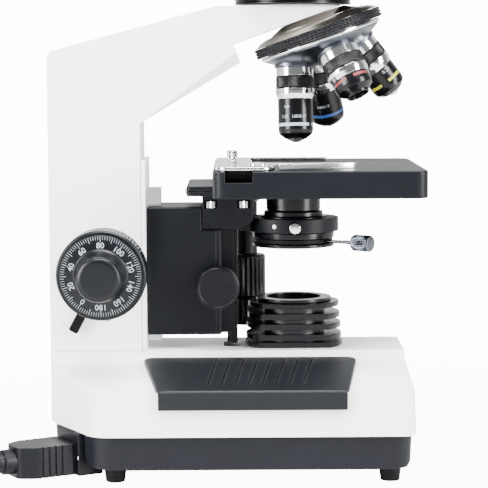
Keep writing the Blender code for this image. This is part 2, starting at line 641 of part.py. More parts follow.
def make_stage():
    plan = rounded(rectangle(STAGE_REAR, STAGE_FRONT, -STAGE_HALF, STAGE_HALF), 0.008)
    stage = piece("stage_plate", extruded(plan, PLATE_LOW, STAGE_TOP), "black")
    soften(stage, 0.0008, 1)
    cut(stage, box((-0.070, -0.0366, 0.150), (0.0462, 0.0366, GUIDE_TOP + 0.0004)))
    opening = arc((0.0115, 0), 0.0175, -90, 90, 10) + arc((-0.0115, 0), 0.0175, 90, 270, 10)
    cut(stage, extruded(opening, 0.15, 0.20))
    cut(stage, box((CHANNEL[0], -0.08, 0.1724), (CHANNEL[1], 0.08, 0.19)))

    strip = [(-0.047, 0.044), (-0.047, -0.058)] + arc((-0.0385, -0.058), 0.0085, 180, 270, 4)
    strip += arc((-0.022, -0.0565), 0.010, -90, 60, 6) + [(-0.0262, -0.044), (-0.0262, 0.0386)]
    strip += [(0.022, 0.0386), (0.022, 0.044)]
    holder = piece("slide_holder", extruded(strip, HOLDER_PLATE, HOLDER_PLATE + 0.0020), "chrome")
    key = rectangle(CHANNEL[0] + 0.0004, CHANNEL[1] - 0.0004, -0.058, 0.040)
    join(holder, extruded(key, 0.1728, HOLDER_PLATE + 0.0005))
    seat = HOLDER_PLATE + 0.0023
    screw = [(0, 0.1895), (0.0028, 0.1895), (0.0033, 0.1890), (0.0033, seat), (0, seat)]
    piece("holder_thumbscrew", turned(screw, SMALL_ROUND), "chrome", at=(-0.037, 0, 0))

    pivot = group("finger_axis", (-0.022, -0.0565, 0))
    blade = [(0.0125, -0.0040), (0.052, 0.0080), (0.058, 0.0125)]
    blade += [(0.058, 0.0150), (0.040, 0.0150), (0.0125, 0.0080)]
    finger = piece("spring_finger", extruded(blade, HOLDER_PLATE, HOLDER_PLATE + 0.0032), "chrome", pivot)
    root = rectangle(0, 0.020, -0.0026, 0.0056)
    join(finger, extruded(root, HOLDER_PLATE + 0.0024, HOLDER_PLATE + 0.0036))
    join(finger, turned(disc(0.0060, HOLDER_PLATE + 0.0023, HOLDER_PLATE + 0.0042), SMALL_ROUND))

    foot = [(0, PLATE_LOW - GAP), (0.0110, PLATE_LOW - GAP), (0.0110, 0.1560), (0.0065, 0.1530)]
    stalk = foot + [(0.0065, 0.1200), (0.0023, 0.1200), (0.0023, 0.1260), (0, 0.1260)]
    at = (STALK_X, STALK_Y, 0)
    piece("xy_stalk", turned(stalk, MEDIUM_ROUND), "black", at=at)
    upper = [(0.0105, 0.1196), (0.0115, 0.1186), (0.0115, 0.0938)]
    upper += [(0.0105, 0.0929), (0.0023, 0.0929), (0.0023, 0.1196)]
    piece("stage_y_knob", turned(upper, MEDIUM_ROUND), "black", at=at)
    lower = [(0, 0.1250), (0.0020, 0.1250), (0.0020, 0.0925), (0.0100, 0.0925), (0.0110, 0.0915)]
    lower += [(0.0110, 0.0760), (0.0100, 0.0750), (0, 0.0750)]
    piece("stage_x_knob", turned(lower, MEDIUM_ROUND), "black", at=at)


# Nosepiece and objectives -------------------------------------------------------------------------


def objective_profile(length, radius):
    """A shoulder at height 0 with its thread above, and the barrel, band and nose below."""
    nose = radius * 0.95
    return [
        (0, 0.0045),
        (0.0098, 0.0045),
        (0.0098, 0.0001),
        (radius + 0.0007, 0),
        (radius + 0.0007, -0.0050),
        (radius + 0.0011, -0.0052),
        (radius + 0.0011, -0.0125),
        (radius + 0.0009, -0.0160),
        (radius, -0.0188),
        (radius, -length + 0.0075),
        (nose, -length + 0.0050),
        (radius * 0.62, -length + 0.0022),
        (0.0018, -length),
        (0, -length),
    ]


def make_nosepiece():
    tilt = (0, -TURRET_TILT, 0)
    mounted = group("nosepiece_seat", (0, 0, APEX_Z), tilt)
    top, low = -0.0348, -0.0410
    post = [(0, top), (0.0195, top), (0.0275, -0.0383), (0.0275, low), (0.0050, low), (0.0050, -0.0560)]
    post += [(0.0040, -0.0562), (0.0040, -0.0643), (0.0065, -0.0643), (0.0060, -0.0662), (0, -0.0662)]
    mount = piece("nosepiece_mount", turned(post), "black", mounted)
    cut(mount, turned(disc(0.0070, -0.060, 0.0), SMALL_ROUND), turn=(0, TURRET_TILT, 0))

    spin = group("nosepiece_axis", (0, 0, APEX_Z), tilt)
    rim = [(0.0300, -0.0386), (0.0350, -0.0400), (0.0380, -0.0418), (0.0400, -0.0424), (0.0400, -0.0475)]
    rim += [(0.0330, -0.0475), (0.0330, -0.0415), (0.0300, -0.0405)]
    piece("nosepiece_ring", turned(rim, LARGE_ROUND), "black", spin)
    shell = [(0.0327, -0.0420), (0.0327, -0.0478), (0.0370, -0.0478), (0.0370, -0.0503)]
    for degrees in (34, 28, 22, 16, 10):
        tip = math.radians(degrees)
        shell.append((CAP * math.sin(tip), -CAP * math.cos(tip)))
    shell += [(0.0043, -CAP), (0.0043, -0.0570), (0.0200, -0.0545), (0.0295, -0.0490), (0.0295, -0.0420)]
    turret = piece("nosepiece_turret", turned(shell, ROUND), "chrome", spin)
    turns = [
        (0, TURRET_TILT, math.radians(azimuth - 180) + TURRET_TURN) for azimuth, _, _ in OBJECTIVES.values()
    ]
    for turn in turns:
        join(turret, turned(disc(0.0122, -BOSS_FACE, -0.0590), MEDIUM_ROUND), turn=turn)
    for turn, (name, (_, length, radius)) in zip(turns, OBJECTIVES.items()):
        cut(turret, turned(disc(0.0101, -0.0720, -0.0400), MEDIUM_ROUND), turn=turn)
        seat = Euler(turn).to_matrix() @ Vector((0, 0, -SEAT))
        piece(name, turned(objective_profile(length, radius), MEDIUM_ROUND), "black", spin, seat, turn)


# Head ---------------------------------------------------------------------------------------------


def make_head():
    head = group("head_axis")
    disc_profile = [(0, 0.2864), (0.0405, 0.2864), (0.0415, 0.2856)]
    disc_profile += [(0.0415, 0.2803), (0.0405, 0.2795), (0, 0.2795)]
    housing = piece("head_housing", turned(disc_profile, ROUND), "black", head)
    axis = Vector((math.cos(TUBE_RISE), 0, math.sin(TUBE_RISE)))
    up = Vector((-math.sin(TUBE_RISE), 0, math.cos(TUBE_RISE)))
    pivot = Vector((0, 0, HINGE_Z))
    points = at_height(arc((0, 0), 0.0375, 0, 345, 23), 0.2860)
    points += at_height(arc((0, 0), 0.0370, 0, 345, 23), 0.2950)
    points += at_height(arc((-0.004, 0), 0.0270, 0, 345, 23), 0.3320)
    points += at_height(arc((-0.004, 0), 0.0200, 0, 345, 23), 0.3400)
    for angle in range(0, 360, 15):
        across, rise = 0.027 * math.cos(math.radians(angle)), 0.027 * math.sin(math.radians(angle))
        points.append(tuple(pivot + axis * HUB_START + up * rise + Vector((0, across, 0))))
    join(housing, hulled(points))
    swing_turn = (0, QUARTER - TUBE_RISE, 0)
    join(housing, turned(disc(0.0220, 0.020, HUB_END)), at=pivot, turn=swing_turn)
    cut(housing, turned(disc(0.0150, 0.270, 0.300), MEDIUM_ROUND))

    down = math.sqrt(SWING**2 - HALF_SPACING**2)
    for side, (sign, _) in SIDES.items():
        swing = group(f"eyetube_{side}_axis", pivot, swing_turn)
        lean = math.degrees(math.atan2(sign * HALF_SPACING, down))
        centre = (down, sign * HALF_SPACING)
        outline = arc((0, 0), 0.0223, lean - 38, lean + 38, 8)
        outline += arc(centre, 0.0208, lean + 105, lean - 105, 14)
        wing = piece(f"eyetube_{side}", extruded(outline, HUB_START + 0.001, HUB_END - 0.001), "black", swing)
        soften(wing, 0.0012)
        place = (*centre, 0)
        join(wing, turned(disc(0.0150, HUB_END - 0.010, TUBE_END), MEDIUM_ROUND), at=place)
        cut(wing, turned(disc(0.0118, 0.060, 0.120), MEDIUM_ROUND), at=place)
        eyepiece = [(0, EYEPIECE_END - 0.0040), (0.0085, EYEPIECE_END - 0.0036), (0.0100, EYEPIECE_END)]
        eyepiece += [(0.0140, EYEPIECE_END), (0.0165, EYEPIECE_END - 0.0030), (0.0165, TUBE_END + 0.0008)]
        eyepiece += [(0.0115, TUBE_END + 0.0006), (0.0115, 0.0860), (0, 0.0860)]
        piece(f"eyepiece_{side}", turned(eyepiece, MEDIUM_ROUND), "black", swing, at=place)
        if side == "left":
            band = turned(ring(0.0175, 0.0153, 0.0970, 0.1055), MEDIUM_ROUND)
            piece("diopter_ring", band, "black", swing, at=place)


def main():
    clear_scene()
    make_base()
    make_armrests()
    make_lamp()
    make_power()
    make_cord()
    make_arm()
    make_carriage()
    make_focus_knobs()
    make_condenser()
    make_stage()
    make_nosepiece()
    make_head()


main()
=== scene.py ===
"""Looks of a compound laboratory microscope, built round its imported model, in metres, +Z up.

The optical axis is the Z axis and +X points at the user. Turned pieces are made along their own Z and
then placed on their joint's axis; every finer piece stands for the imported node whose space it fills.
"""

import json
import math

import bmesh
import bpy
from mathutils import Matrix, Vector

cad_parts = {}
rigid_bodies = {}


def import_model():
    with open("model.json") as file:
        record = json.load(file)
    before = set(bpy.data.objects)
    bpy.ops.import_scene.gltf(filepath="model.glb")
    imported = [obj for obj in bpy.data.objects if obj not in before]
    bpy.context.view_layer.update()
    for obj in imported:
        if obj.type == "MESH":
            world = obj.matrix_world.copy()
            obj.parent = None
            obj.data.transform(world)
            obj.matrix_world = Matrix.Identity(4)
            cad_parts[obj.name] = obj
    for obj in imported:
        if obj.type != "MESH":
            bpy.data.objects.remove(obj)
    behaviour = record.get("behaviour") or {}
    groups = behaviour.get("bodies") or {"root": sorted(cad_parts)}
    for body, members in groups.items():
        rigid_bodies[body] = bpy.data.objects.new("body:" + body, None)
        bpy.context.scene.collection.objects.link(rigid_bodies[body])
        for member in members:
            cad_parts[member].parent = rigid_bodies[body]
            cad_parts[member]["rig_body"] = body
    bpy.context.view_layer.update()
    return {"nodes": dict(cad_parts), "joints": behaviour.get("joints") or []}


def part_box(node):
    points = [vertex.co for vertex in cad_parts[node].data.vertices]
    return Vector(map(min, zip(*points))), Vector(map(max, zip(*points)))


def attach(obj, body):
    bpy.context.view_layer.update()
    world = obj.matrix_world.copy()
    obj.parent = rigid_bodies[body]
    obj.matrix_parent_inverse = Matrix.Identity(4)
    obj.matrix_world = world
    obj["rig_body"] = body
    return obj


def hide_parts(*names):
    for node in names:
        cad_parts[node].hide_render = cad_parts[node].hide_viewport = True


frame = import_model()
JOINTS = {joint["name"]: joint for joint in frame["joints"]}

GAP = 0.0003
FULL_TURN = 2 * math.pi
ALMOST_STRAIGHT = math.radians(3)
WALL = 0.003

# Base
BASE_REAR = -0.146
BASE_FRONT = 0.068
BASE_HALF = 0.089
CHAMFER_X = -0.1163
CHAMFER_Y = 0.036
CORNER = 0.010
COLUMN_HALF = 0.027
EDGE_TOP = 0.0543
SHOULDER_TOP = 0.0646
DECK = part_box("arm")[0].z - GAP
DECK_FRONT = 0.0654
COVER_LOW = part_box("base_cover")[0].z
PAN_LOW = 0.0085
INLET_Z = 0.0135

# Focus drive, condenser and stage
FOCUS = Vector(JOINTS["coarse_turn"]["pos_m"])
CONDENSER_DRIVE = Vector(JOINTS["condenser_turn"]["pos_m"])
STAGE_LOW, STAGE_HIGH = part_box("stage_plate")
STAGE_TOP = STAGE_HIGH.z
HOLDER_LOW = STAGE_TOP + GAP
HOLDER_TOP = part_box("slide_holder")[1].z
STALK = (JOINTS["stage_y_turn"]["pos_m"][0], JOINTS["stage_y_turn"]["pos_m"][1])

# Nosepiece and head
APEX = Vector(JOINTS["nosepiece_turn"]["pos_m"])
TILT = 19.5
TURRET_TURN = 17
SEAT = 0.0641
HINGE = Vector(JOINTS["left_tube_swing"]["pos_m"])
TUBE_RISE = math.radians(30)
SWING = 0.0385
HALF_SPACING = 0.032
HUB_START = 0.034
HUB_END = 0.066
TUBE_END = 0.108
EYEPIECE_END = 0.1482

# Mains lead
CORD_RADIUS = 0.0034
COIL_CENTRE = (-0.270, -0.046)
COIL_RADII = (0.045, 0.038, 0.031)
RELIEF_END = 0.080
LEAD_ROUTE = (
    (-0.2012, -0.1018, 0.0135),
    (-0.2080, -0.1054, 0.0127),
    (-0.2150, -0.1083, 0.0103),
    (-0.2215, -0.1098, 0.0072),
    (-0.2275, -0.1096, 0.0045),
    (-0.2335, -0.1080, 0.0036),
    (-0.2395, -0.1050, 0.0036),
    (-0.2450, -0.1010, 0.0036),
    (-0.2490, -0.0975, 0.0036),
)


# Finishes -----------------------------------------------------------------------------------------


class Signal:
    """A value in a node tree; arithmetic on it adds Math nodes."""

    def __init__(self, nodes, socket):
        self.nodes = nodes
        self.socket = socket

    def calculate(self, operation, *values):
        return self.nodes.node("ShaderNodeMath", {"operation": operation}, dict(enumerate(values)))

    def __add__(self, other):
        return self.calculate("ADD", self, other)

    def __sub__(self, other):
        return self.calculate("SUBTRACT", self, other)

    def __rsub__(self, other):
        return self.calculate("SUBTRACT", other, self)

    def __mul__(self, other):
        return self.calculate("MULTIPLY", self, other)

    def __pow__(self, other):
        return self.calculate("POWER", self, other)

    def __gt__(self, other):
        return self.calculate("GREATER_THAN", self, other)

    __radd__ = __add__
    __rmul__ = __mul__


class Nodes:
    """A node tree, and the one way in which its nodes are added."""

    def __init__(self, tree):
        self.tree = tree

    def node(self, kind, settings=(), values=(), output=0):
        """Any node: its settings are made first, then its sockets take values or links."""
        made = self.tree.nodes.new(kind)
        for setting, value in dict(settings).items():
            setattr(made, setting, value)
        for socket, value in dict(values).items():
            self.feed(made.inputs[socket], value)
        return Signal(self, made.outputs[output])

    def feed(self, socket, value):
        if isinstance(value, Signal):
            self.tree.links.new(value.socket, socket)
        else:
            socket.default_value = value

    def seen_by_camera(self):
        """1 where the camera looks straight at the surface or the world."""
        return self.node("ShaderNodeLightPath", output="Is Camera Ray")


class Look(Nodes):
    """A finish: its record slot, its nodes, and the surface shader that they end in."""

    def __init__(self, name, slot, metallic=0.0, **constants):
        self.slot = slot
        self.material = bpy.data.materials.new(name)
        self.material.use_nodes = True
        super().__init__(self.material.node_tree)
        self.surface = self.tree.nodes["Principled BSDF"]
        self.set("Metallic", metallic)
        for socket, value in constants.items():
            self.set(socket.replace("_", " "), value)
        self.place = self.node("ShaderNodeTexCoord", output="Object")
        split = self.node("ShaderNodeSeparateXYZ", {}, {0: self.place}).socket.node
        self.x, self.y, self.z = (Signal(self, socket) for socket in split.outputs)

    def set(self, socket, value):
        self.feed(self.surface.inputs[socket], value)

    def mix(self, factor, first, second):
        values = {"Factor": factor, 6: (*first, 1), 7: (*second, 1)}
        return self.node("ShaderNodeMix", {"data_type": "RGBA"}, values, 2)

    def noise(self, scale, detail=2.0, stretch=(1, 1, 1)):
        """Noise with about this many cells in a metre."""
        where = self.node("ShaderNodeMapping", {}, {"Vector": self.place, "Scale": stretch})
        return self.node("ShaderNodeTexNoise", {}, {"Vector": where, "Scale": scale, "Detail": detail})

    def lathe_marks(self, pitch):
        """Noise that is the same all the way round the piece's own axis."""
        radius = (self.x * self.x + self.y * self.y) ** 0.5
        values = {"X": radius * (1 / pitch), "Y": 0.0, "Z": self.z * (1 / pitch)}
        where = self.node("ShaderNodeCombineXYZ", {}, values)
        return self.node("ShaderNodeTexNoise", {}, {"Vector": where, "Scale": 1.0, "Detail": 2.0})

    def relief(self, height, depth):
        values = {"Height": height, "Distance": depth, "Strength": 1.0}
        self.set("Normal", self.node("ShaderNodeBump", {}, values))

    def edges(self, width):
        """1 on sharp edges, 0 on the flat."""
        smooth = self.node("ShaderNodeBevel", {"samples": 4}, {"Radius": width})
        facing = self.node("ShaderNodeNewGeometry", output="Normal")
        along = self.node(
            "ShaderNodeVectorMath", {"operation": "DOT_PRODUCT"}, {0: smooth, 1: facing}, "Value",
        )
        return self.node("ShaderNodeMapRange", {}, {"Value": 1 - along, "From Max": 0.12})


def paler(colour, share):
    """A colour taken part of the way to white."""
    return [c + (1 - c) * share for c in colour]


def coated(name, slot, colour, gloss, grain, depth, mottle=0.05, wear=0.0, shine=0.5, **constants):
    """Paint, plastic or rubber: a grain in relief, slow changes of tone and gloss, and rubbed edges."""
    look = Look(name, slot, Specular_IOR_Level=shine, **constants)
    slow = look.noise(35, 3)
    fine = look.noise(grain, 3)
    tone = look.mix(slow, [c * (1 - mottle) for c in colour], [c * (1 + mottle * 0.5) for c in colour])
    roughness = gloss + slow * 0.08 + fine * 0.10 - 0.09
    if wear:
        rubbed = look.edges(0.0006) * (0.35 + look.noise(260, 3))
        tone = look.node(
            "ShaderNodeMix",
            {"data_type": "RGBA", "clamp_factor": True},
            {"Factor": rubbed * wear, 6: tone, 7: (*paler(colour, 0.05), 1)},
            2,
        )
        roughness = roughness - rubbed * 0.12
    look.set("Base Color", tone)
    look.set("Roughness", roughness)
    look.relief(fine, depth)
    return look


def bare_metal(name, slot, colour, gloss, pitch, depth, smudges=0.06):
    """Turned or drawn metal, with fine tool marks and faint smudges."""
    look = Look(name, slot, metallic=1.0)
    marks = look.lathe_marks(pitch)
    slow = look.noise(120, 4)
    look.set("Base Color", look.mix(slow, [c * 0.93 for c in colour], colour))
    look.set("Roughness", gloss + slow * smudges + marks * 0.05 - 0.04)
    look.relief(marks, depth)
    return look


def turned_black(name, slot, colour, gloss, pitch, depth):
    """Black finish over lathe marks, which draw the light into rays."""
    look = Look(name, slot, Specular_IOR_Level=0.22)
    marks = look.lathe_marks(pitch)
    slow = look.noise(90, 3)
    look.set("Base Color", look.mix(slow, [c * 0.7 for c in colour], [c * 1.2 for c in colour]))
    look.set("Roughness", gloss + slow * 0.08 + marks * 0.06 - 0.07)
    look.relief(marks, depth)
    return look


def printed(name, slot, colour):
    """Screen-printed ink: slightly uneven cover, and a soft gloss."""
    look = Look(name, slot)
    patchy = look.noise(2500, 2)
    look.set("Base Color", look.mix(patchy, [c * 0.8 for c in colour], colour))
    look.set("Roughness", 0.42 + patchy * 0.2)
    look.relief(patchy, 0.00001)
    return look


def glass(name, tint):
    """Coated lens glass."""
    look = Look(name, "lens_glass", Transmission_Weight=1.0, IOR=1.52, Coat_Weight=0.6)
    dust = look.noise(900, 4)
    look.set("Base Color", look.mix(dust, tint, paler(tint, 0.5)))
    look.set("Roughness", dust * 0.05)
    look.relief(dust, 0.000002)
    return look


def circuit_board():
    """Green solder mask with paler copper tracks under it."""
    look = Look("circuit_board", "circuit_board")
    tracks = look.noise(320, 0, (1, 0.2, 1)) > 0.56
    look.set("Base Color", look.mix(tracks, (0.01, 0.10, 0.04), (0.05, 0.24, 0.10)))
    look.set("Roughness", 0.35 + look.noise(800) * 0.1)
    look.relief(tracks, 0.00004)
    return look


LOOKS = {
    "white": coated(
        "white_enamel",
        "white_enamel",
        (0.84, 0.86, 0.84),
        gloss=0.42,
        grain=900,
        depth=0.000006,
        mottle=0.03,
        Coat_Weight=0.25,
        Coat_Roughness=0.25,
    ),
    "black": coated(
        "black_enamel", "black_enamel", (0.0016, 0.0021, 0.0036),
        gloss=0.42, grain=2600, depth=0.000022, mottle=0.25, wear=0.5, shine=0.14,
    ),
    "plastic": coated(
        "black_plastic", "black_plastic", (0.0020, 0.0024, 0.0036),
        gloss=0.38, grain=1800, depth=0.000012, mottle=0.2, wear=0.4, shine=0.15,
    ),
    "tray": coated(
        "tray_plastic", "black_plastic", (0.0036, 0.0040, 0.0064),
        gloss=0.50, grain=2200, depth=0.00003, mottle=0.15, wear=0.3, shine=0.16,
    ),
    "rest": coated(
        "armrest_rubber", "armrest_rubber", (0.0022, 0.0028, 0.0044),
        gloss=0.46, grain=2400, depth=0.00003, mottle=0.2, wear=0.6, shine=0.22,
    ),
    "foot": coated(
        "foot_rubber", "foot_rubber", (0.0026, 0.0028, 0.0034),
        gloss=0.62, grain=2400, depth=0.00004, mottle=0.25, wear=0.4, shine=0.12,
    ),
    "jacket": coated(
        "cord_jacket", "cord_jacket", (0.0022, 0.0022, 0.0026),
        gloss=0.42, grain=500, depth=0.00003, mottle=0.3, wear=0.0, shine=0.18,
    ),
    "lever": coated(
        "lever_black", "lever_black", (0.0012, 0.0012, 0.0015),
        gloss=0.50, grain=1500, depth=0.00005, mottle=0.3, wear=0.5, shine=0.10,
    ),
    "dial": turned_black(
        "dial_black", "black_plastic", (0.0016, 0.0021, 0.0032),
        gloss=0.30, pitch=0.00016, depth=0.00003,
    ),
    "optic": turned_black(
        "objective_black", "objective_black", (0.0020, 0.0020, 0.0026),
        gloss=0.24, pitch=0.0004, depth=0.00001,
    ),
    "fins": turned_black(
        "collector_black", "black_enamel", (0.0016, 0.0018, 0.0028),
        gloss=0.24, pitch=0.0003, depth=0.00002,
    ),
    "chrome": bare_metal(
        "chrome", "chrome", (0.80, 0.80, 0.80),
        gloss=0.10, pitch=0.0006, depth=0.000004,
    ),
    "satin": bare_metal(
        "satin_chrome", "chrome", (0.10, 0.11, 0.13),
        gloss=0.30, pitch=0.0002, depth=0.00002,
    ),
    "warm": bare_metal(
        "warm_steel", "chrome", (0.40, 0.36, 0.32),
        gloss=0.22, pitch=0.0005, depth=0.00001,
    ),
    "steel": bare_metal(
        "brushed_steel", "steel", (0.46, 0.46, 0.47),
        gloss=0.28, pitch=0.0003, depth=0.00002,
    ),
    "brass": bare_metal(
        "brass", "brass", (0.62, 0.42, 0.18),
        gloss=0.22, pitch=0.0004, depth=0.00002,
    ),
    "ink": printed("white_ink", "black_plastic", (0.34, 0.39, 0.43)),
    "red": printed("red_band", "objective_black", (0.14, 0.004, 0.008)),
    "yellow": printed("yellow_band", "objective_black", (0.46, 0.43, 0.005)),
    "blue": printed("blue_band", "objective_black", (0.002, 0.045, 0.20)),
    "glass": glass("lens_glass", (0.86, 0.92, 0.94)),
    "coated_glass": glass("coated_lens", (0.45, 0.40, 0.65)),
    "board": circuit_board(),
}


# Outlines and shapes ------------------------------------------------------------------------------


def rectangle(low_a, high_a, low_b, high_b):
    return [(low_a, low_b), (high_a, low_b), (high_a, high_b), (low_a, high_b)]


def arc(centre, radius, start, end, steps):
    """Points on a circle from one angle to another, in degrees."""
    angles = [math.radians(start + (end - start) * k / steps) for k in range(steps + 1)]
    return [(centre[0] + radius * math.cos(t), centre[1] + radius * math.sin(t)) for t in angles]


def eased(corners, reach, steps=4, closed=True):
    """An outline with its corners rounded. An open one keeps its two ends."""
    points = [Vector(c) for c in corners]
    outline = []
    for k, here in enumerate(points):
        if not closed and k in (0, len(points) - 1):
            outline.append(tuple(here))
            continue
        before = points[k - 1] - here
        after = points[(k + 1) % len(points)] - here
        if math.pi - before.angle(after) < ALMOST_STRAIGHT:
            outline.append(tuple(here))
            continue
        start = here + before.normalized() * min(reach, before.length * 0.45)
        end = here + after.normalized() * min(reach, after.length * 0.45)
        for step in range(steps + 1):
            t = step / steps
            outline.append(tuple(start * (1 - t) ** 2 + here * 2 * t * (1 - t) + end * t * t))
    return outline


def inset(corners, distance):
    """A convex outline, anticlockwise, with every side moved inwards."""
    points = [Vector(c) for c in corners]
    moved = []
    for k, here in enumerate(points):
        first = (here - points[k - 1]).normalized()
        second = (points[(k + 1) % len(points)] - here).normalized()
        normals = Vector((-first.y, first.x)), Vector((-second.y, second.x))
        moved.append(tuple(here + (normals[0] + normals[1]) * distance / (1 + normals[0].dot(normals[1]))))
    return moved


def base_plan(distance):
    """The base's plan outline, moved inwards by a distance."""
    side = [(BASE_FRONT, BASE_HALF), (CHAMFER_X, BASE_HALF), (BASE_REAR, CHAMFER_Y)]
    corners = side + [(x, -y) for x, y in reversed(side)]
    return eased(inset(corners, distance), CORNER, 8)


def at_height(outline, height):
    return [(a, b, height) for a, b in outline]


def turned(profile, ease=0.0003, segments=96, relief=None):
    """A profile of (radius, height), from the top down, turned about Z.

    Off the axis, its ends are joined. relief(radius, angle, height) is how far the surface dips there.
    """
    closed = profile[0][0] > 0
    if ease:
        profile = eased(profile, ease, 3, closed)
    shape = bmesh.new()
    rings = []
    for radius, height in profile:
        if radius < 1e-7:
            rings.append([shape.verts.new((0, 0, height))])
            continue
        ring = []
        for k in range(segments):
            angle = FULL_TURN * k / segments
            reach = radius - (relief(radius, angle, height) if relief else 0)
            ring.append(shape.verts.new((reach * math.cos(angle), reach * math.sin(angle), height)))
        rings.append(ring)
    pairs = list(zip(rings, rings[1:]))
    if closed:
        pairs.append((rings[-1], rings[0]))
    for upper, lower in pairs:
        for k in range(segments):
            corners = [
                upper[k % len(upper)],
                lower[k % len(lower)],
                lower[(k + 1) % segments % len(lower)],
                upper[(k + 1) % segments % len(upper)],
            ]
            shape.faces.new(dict.fromkeys(corners))
    return shape


def disc(radius, low, high):
    """The profile of a solid cylinder."""
    return [(0, high), (radius, high), (radius, low), (0, low)]


def hoop(outer, inner, low, high):
    """The profile of a plain ring."""
    return [(outer, high), (outer, low), (inner, low), (inner, high)]


def flutes(count, depth, inner, low, high):
    """Straight ribs round a grip, between two heights and outside a radius."""

    def dip(radius, angle, height):
        if radius < inner or not low <= height <= high:
            return 0
        return depth * (0.5 - 0.5 * math.cos(count * angle)) ** 0.6

    return dip


def studs(count, rows, depth, inner, low, high):
    """Rows of small square studs round a grip."""

    def dip(radius, angle, height):
        if radius < inner or not low <= height <= high:
            return 0
        across = 0.5 + 0.5 * math.cos(count * angle)
        along = 0.5 - 0.5 * math.cos(FULL_TURN * rows * (height - low) / (high - low))
        return depth * (1 - min(1, 2.2 * across * along))

    return dip


def levels(radius, high, low, steps):
    """The points of a straight wall, from the top down, close enough together to hold a relief."""
    return [(radius, high + (low - high) * k / steps) for k in range(steps + 1)]


def extruded(outline, low, high, plane="XY"):
    """An outline in one plane, drawn out along the third axis."""
    place = {"XY": lambda a, b, c: (a, b, c), "XZ": lambda a, b, c: (a, c, b)}[plane]
    shape = bmesh.new()
    near = [shape.verts.new(place(a, b, low)) for a, b in outline]
    far = [shape.verts.new(place(a, b, high)) for a, b in outline]
    shape.faces.new(near)
    shape.faces.new(far)
    for k in range(len(outline)):
        following = (k + 1) % len(outline)
        shape.faces.new((near[k], near[following], far[following], far[k]))
    return shape


def box(low, high):
    return extruded(rectangle(low[0], high[0], low[1], high[1]), low[2], high[2])


def hulled(points):
    """The convex solid around some points."""
    shape = bmesh.new()
    for point in points:
        shape.verts.new(point)
    made = bmesh.ops.convex_hull(shape, input=shape.verts)
    inner = set(made["geom_interior"]) | set(made["geom_unused"])
    spare = [item for item in inner if isinstance(item, bmesh.types.BMVert)]
    bmesh.ops.delete(shape, geom=spare, context="VERTS")
    bmesh.ops.dissolve_limit(shape, angle_limit=math.radians(1), verts=shape.verts, edges=shape.edges)
    return shape


def sector(outer, inner, low, high, start, end, steps=24):
    """Part of a ring, between two angles in degrees."""
    outline = arc((0, 0), outer, start, end, steps) + arc((0, 0), inner, end, start, steps)
    return extruded(outline, low, high)


def placed(shape, matrix):
    bmesh.ops.transform(shape, matrix=matrix, verts=shape.verts)
    return shape


def gathered(shapes):
    """Several shapes as one, which may touch or stand apart."""
    whole = bmesh.new()
    for shape in shapes:
        part = bpy.data.meshes.new("part")
        shape.to_mesh(part)
        shape.free()
        whole.from_mesh(part)
        bpy.data.meshes.remove(part)
    return whole


def lettering(text, size, thickness=0.00004):
    """Numerals as a thin solid, centred on the origin and facing +Z."""
    curve = bpy.data.curves.new("lettering", "FONT")
    curve.body = text
    curve.size = size
    curve.align_x = "CENTER"
    curve.align_y = "CENTER"
    curve.extrude = thickness
    curve.resolution_u = 3
    block = bpy.data.objects.new("lettering", curve)
    bpy.context.scene.collection.objects.link(block)
    bpy.context.view_layer.update()
    mesh = bpy.data.meshes.new_from_object(block.evaluated_get(bpy.context.evaluated_depsgraph_get()))
    bpy.data.objects.remove(block)
    shape = bmesh.new()
    shape.from_mesh(mesh)
    return shape


def wrapped(shape, radius, height, angle):
    """A flat shape laid round a barrel, reading with its top towards +Z."""
    for vertex in shape.verts:
        across, up, out = vertex.co
        turn = angle + across / radius
        reach = radius + out
        vertex.co = (reach * math.cos(turn), reach * math.sin(turn), height + up)
    return shape


# Pieces -------------------------------------------------------------------------------------------


def move(x, y, z):
    return Matrix.Translation((x, y, z))


def turn(degrees, axis):
    return Matrix.Rotation(math.radians(degrees), 4, axis)


HERE = Matrix()
LEFTWARD = turn(90, "X")
RIGHTWARD = turn(-90, "X")
SIDES = {"left": (-1, LEFTWARD), "right": (1, RIGHTWARD)}
WITH_SEAMS = math.radians(38)


def as_object(name, shape, place):
    bmesh.ops.recalc_face_normals(shape, faces=shape.faces)
    mesh = bpy.data.meshes.new(name)
    shape.to_mesh(mesh)
    shape.free()
    made = bpy.data.objects.new(name, mesh)
    bpy.context.scene.collection.objects.link(made)
    made.matrix_world = place
    return made


def settle(piece, tools=()):
    """Works a piece's modifiers into its mesh."""
    bpy.context.view_layer.update()
    mesh = bpy.data.meshes.new_from_object(piece.evaluated_get(bpy.context.evaluated_depsgraph_get()))
    piece.modifiers.clear()
    piece.data = mesh
    mesh.name = piece.name
    for tool in tools:
        bpy.data.objects.remove(tool)


def make(name, shape, look, node, place=HERE, work=()):
    """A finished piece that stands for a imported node. work is a list of (step, shape or width)."""
    piece = as_object(name, shape, place)
    tools = []
    for number, (step, what) in enumerate(work):
        if step == "soften":
            bevel = piece.modifiers.new(f"soften_{number}", "BEVEL")
            bevel.width = what
            bevel.segments = 3
            bevel.limit_method = "ANGLE"
            bevel.angle_limit = math.radians(28)
            continue
        tool = as_object(f"{name}_{step}_{number}", what, place)
        tools.append(tool)
        boolean = piece.modifiers.new(f"{step}_{number}", "BOOLEAN")
        boolean.operation = {"cut": "DIFFERENCE", "join": "UNION"}[step]
        boolean.object = tool
    if work:
        settle(piece, tools)
    piece.data.shade_smooth()
    piece.data.set_sharp_from_angle(angle=WITH_SEAMS)
    evened = piece.modifiers.new("even_shading", "WEIGHTED_NORMAL")
    evened.keep_sharp = True
    return dressed(piece, look, node)


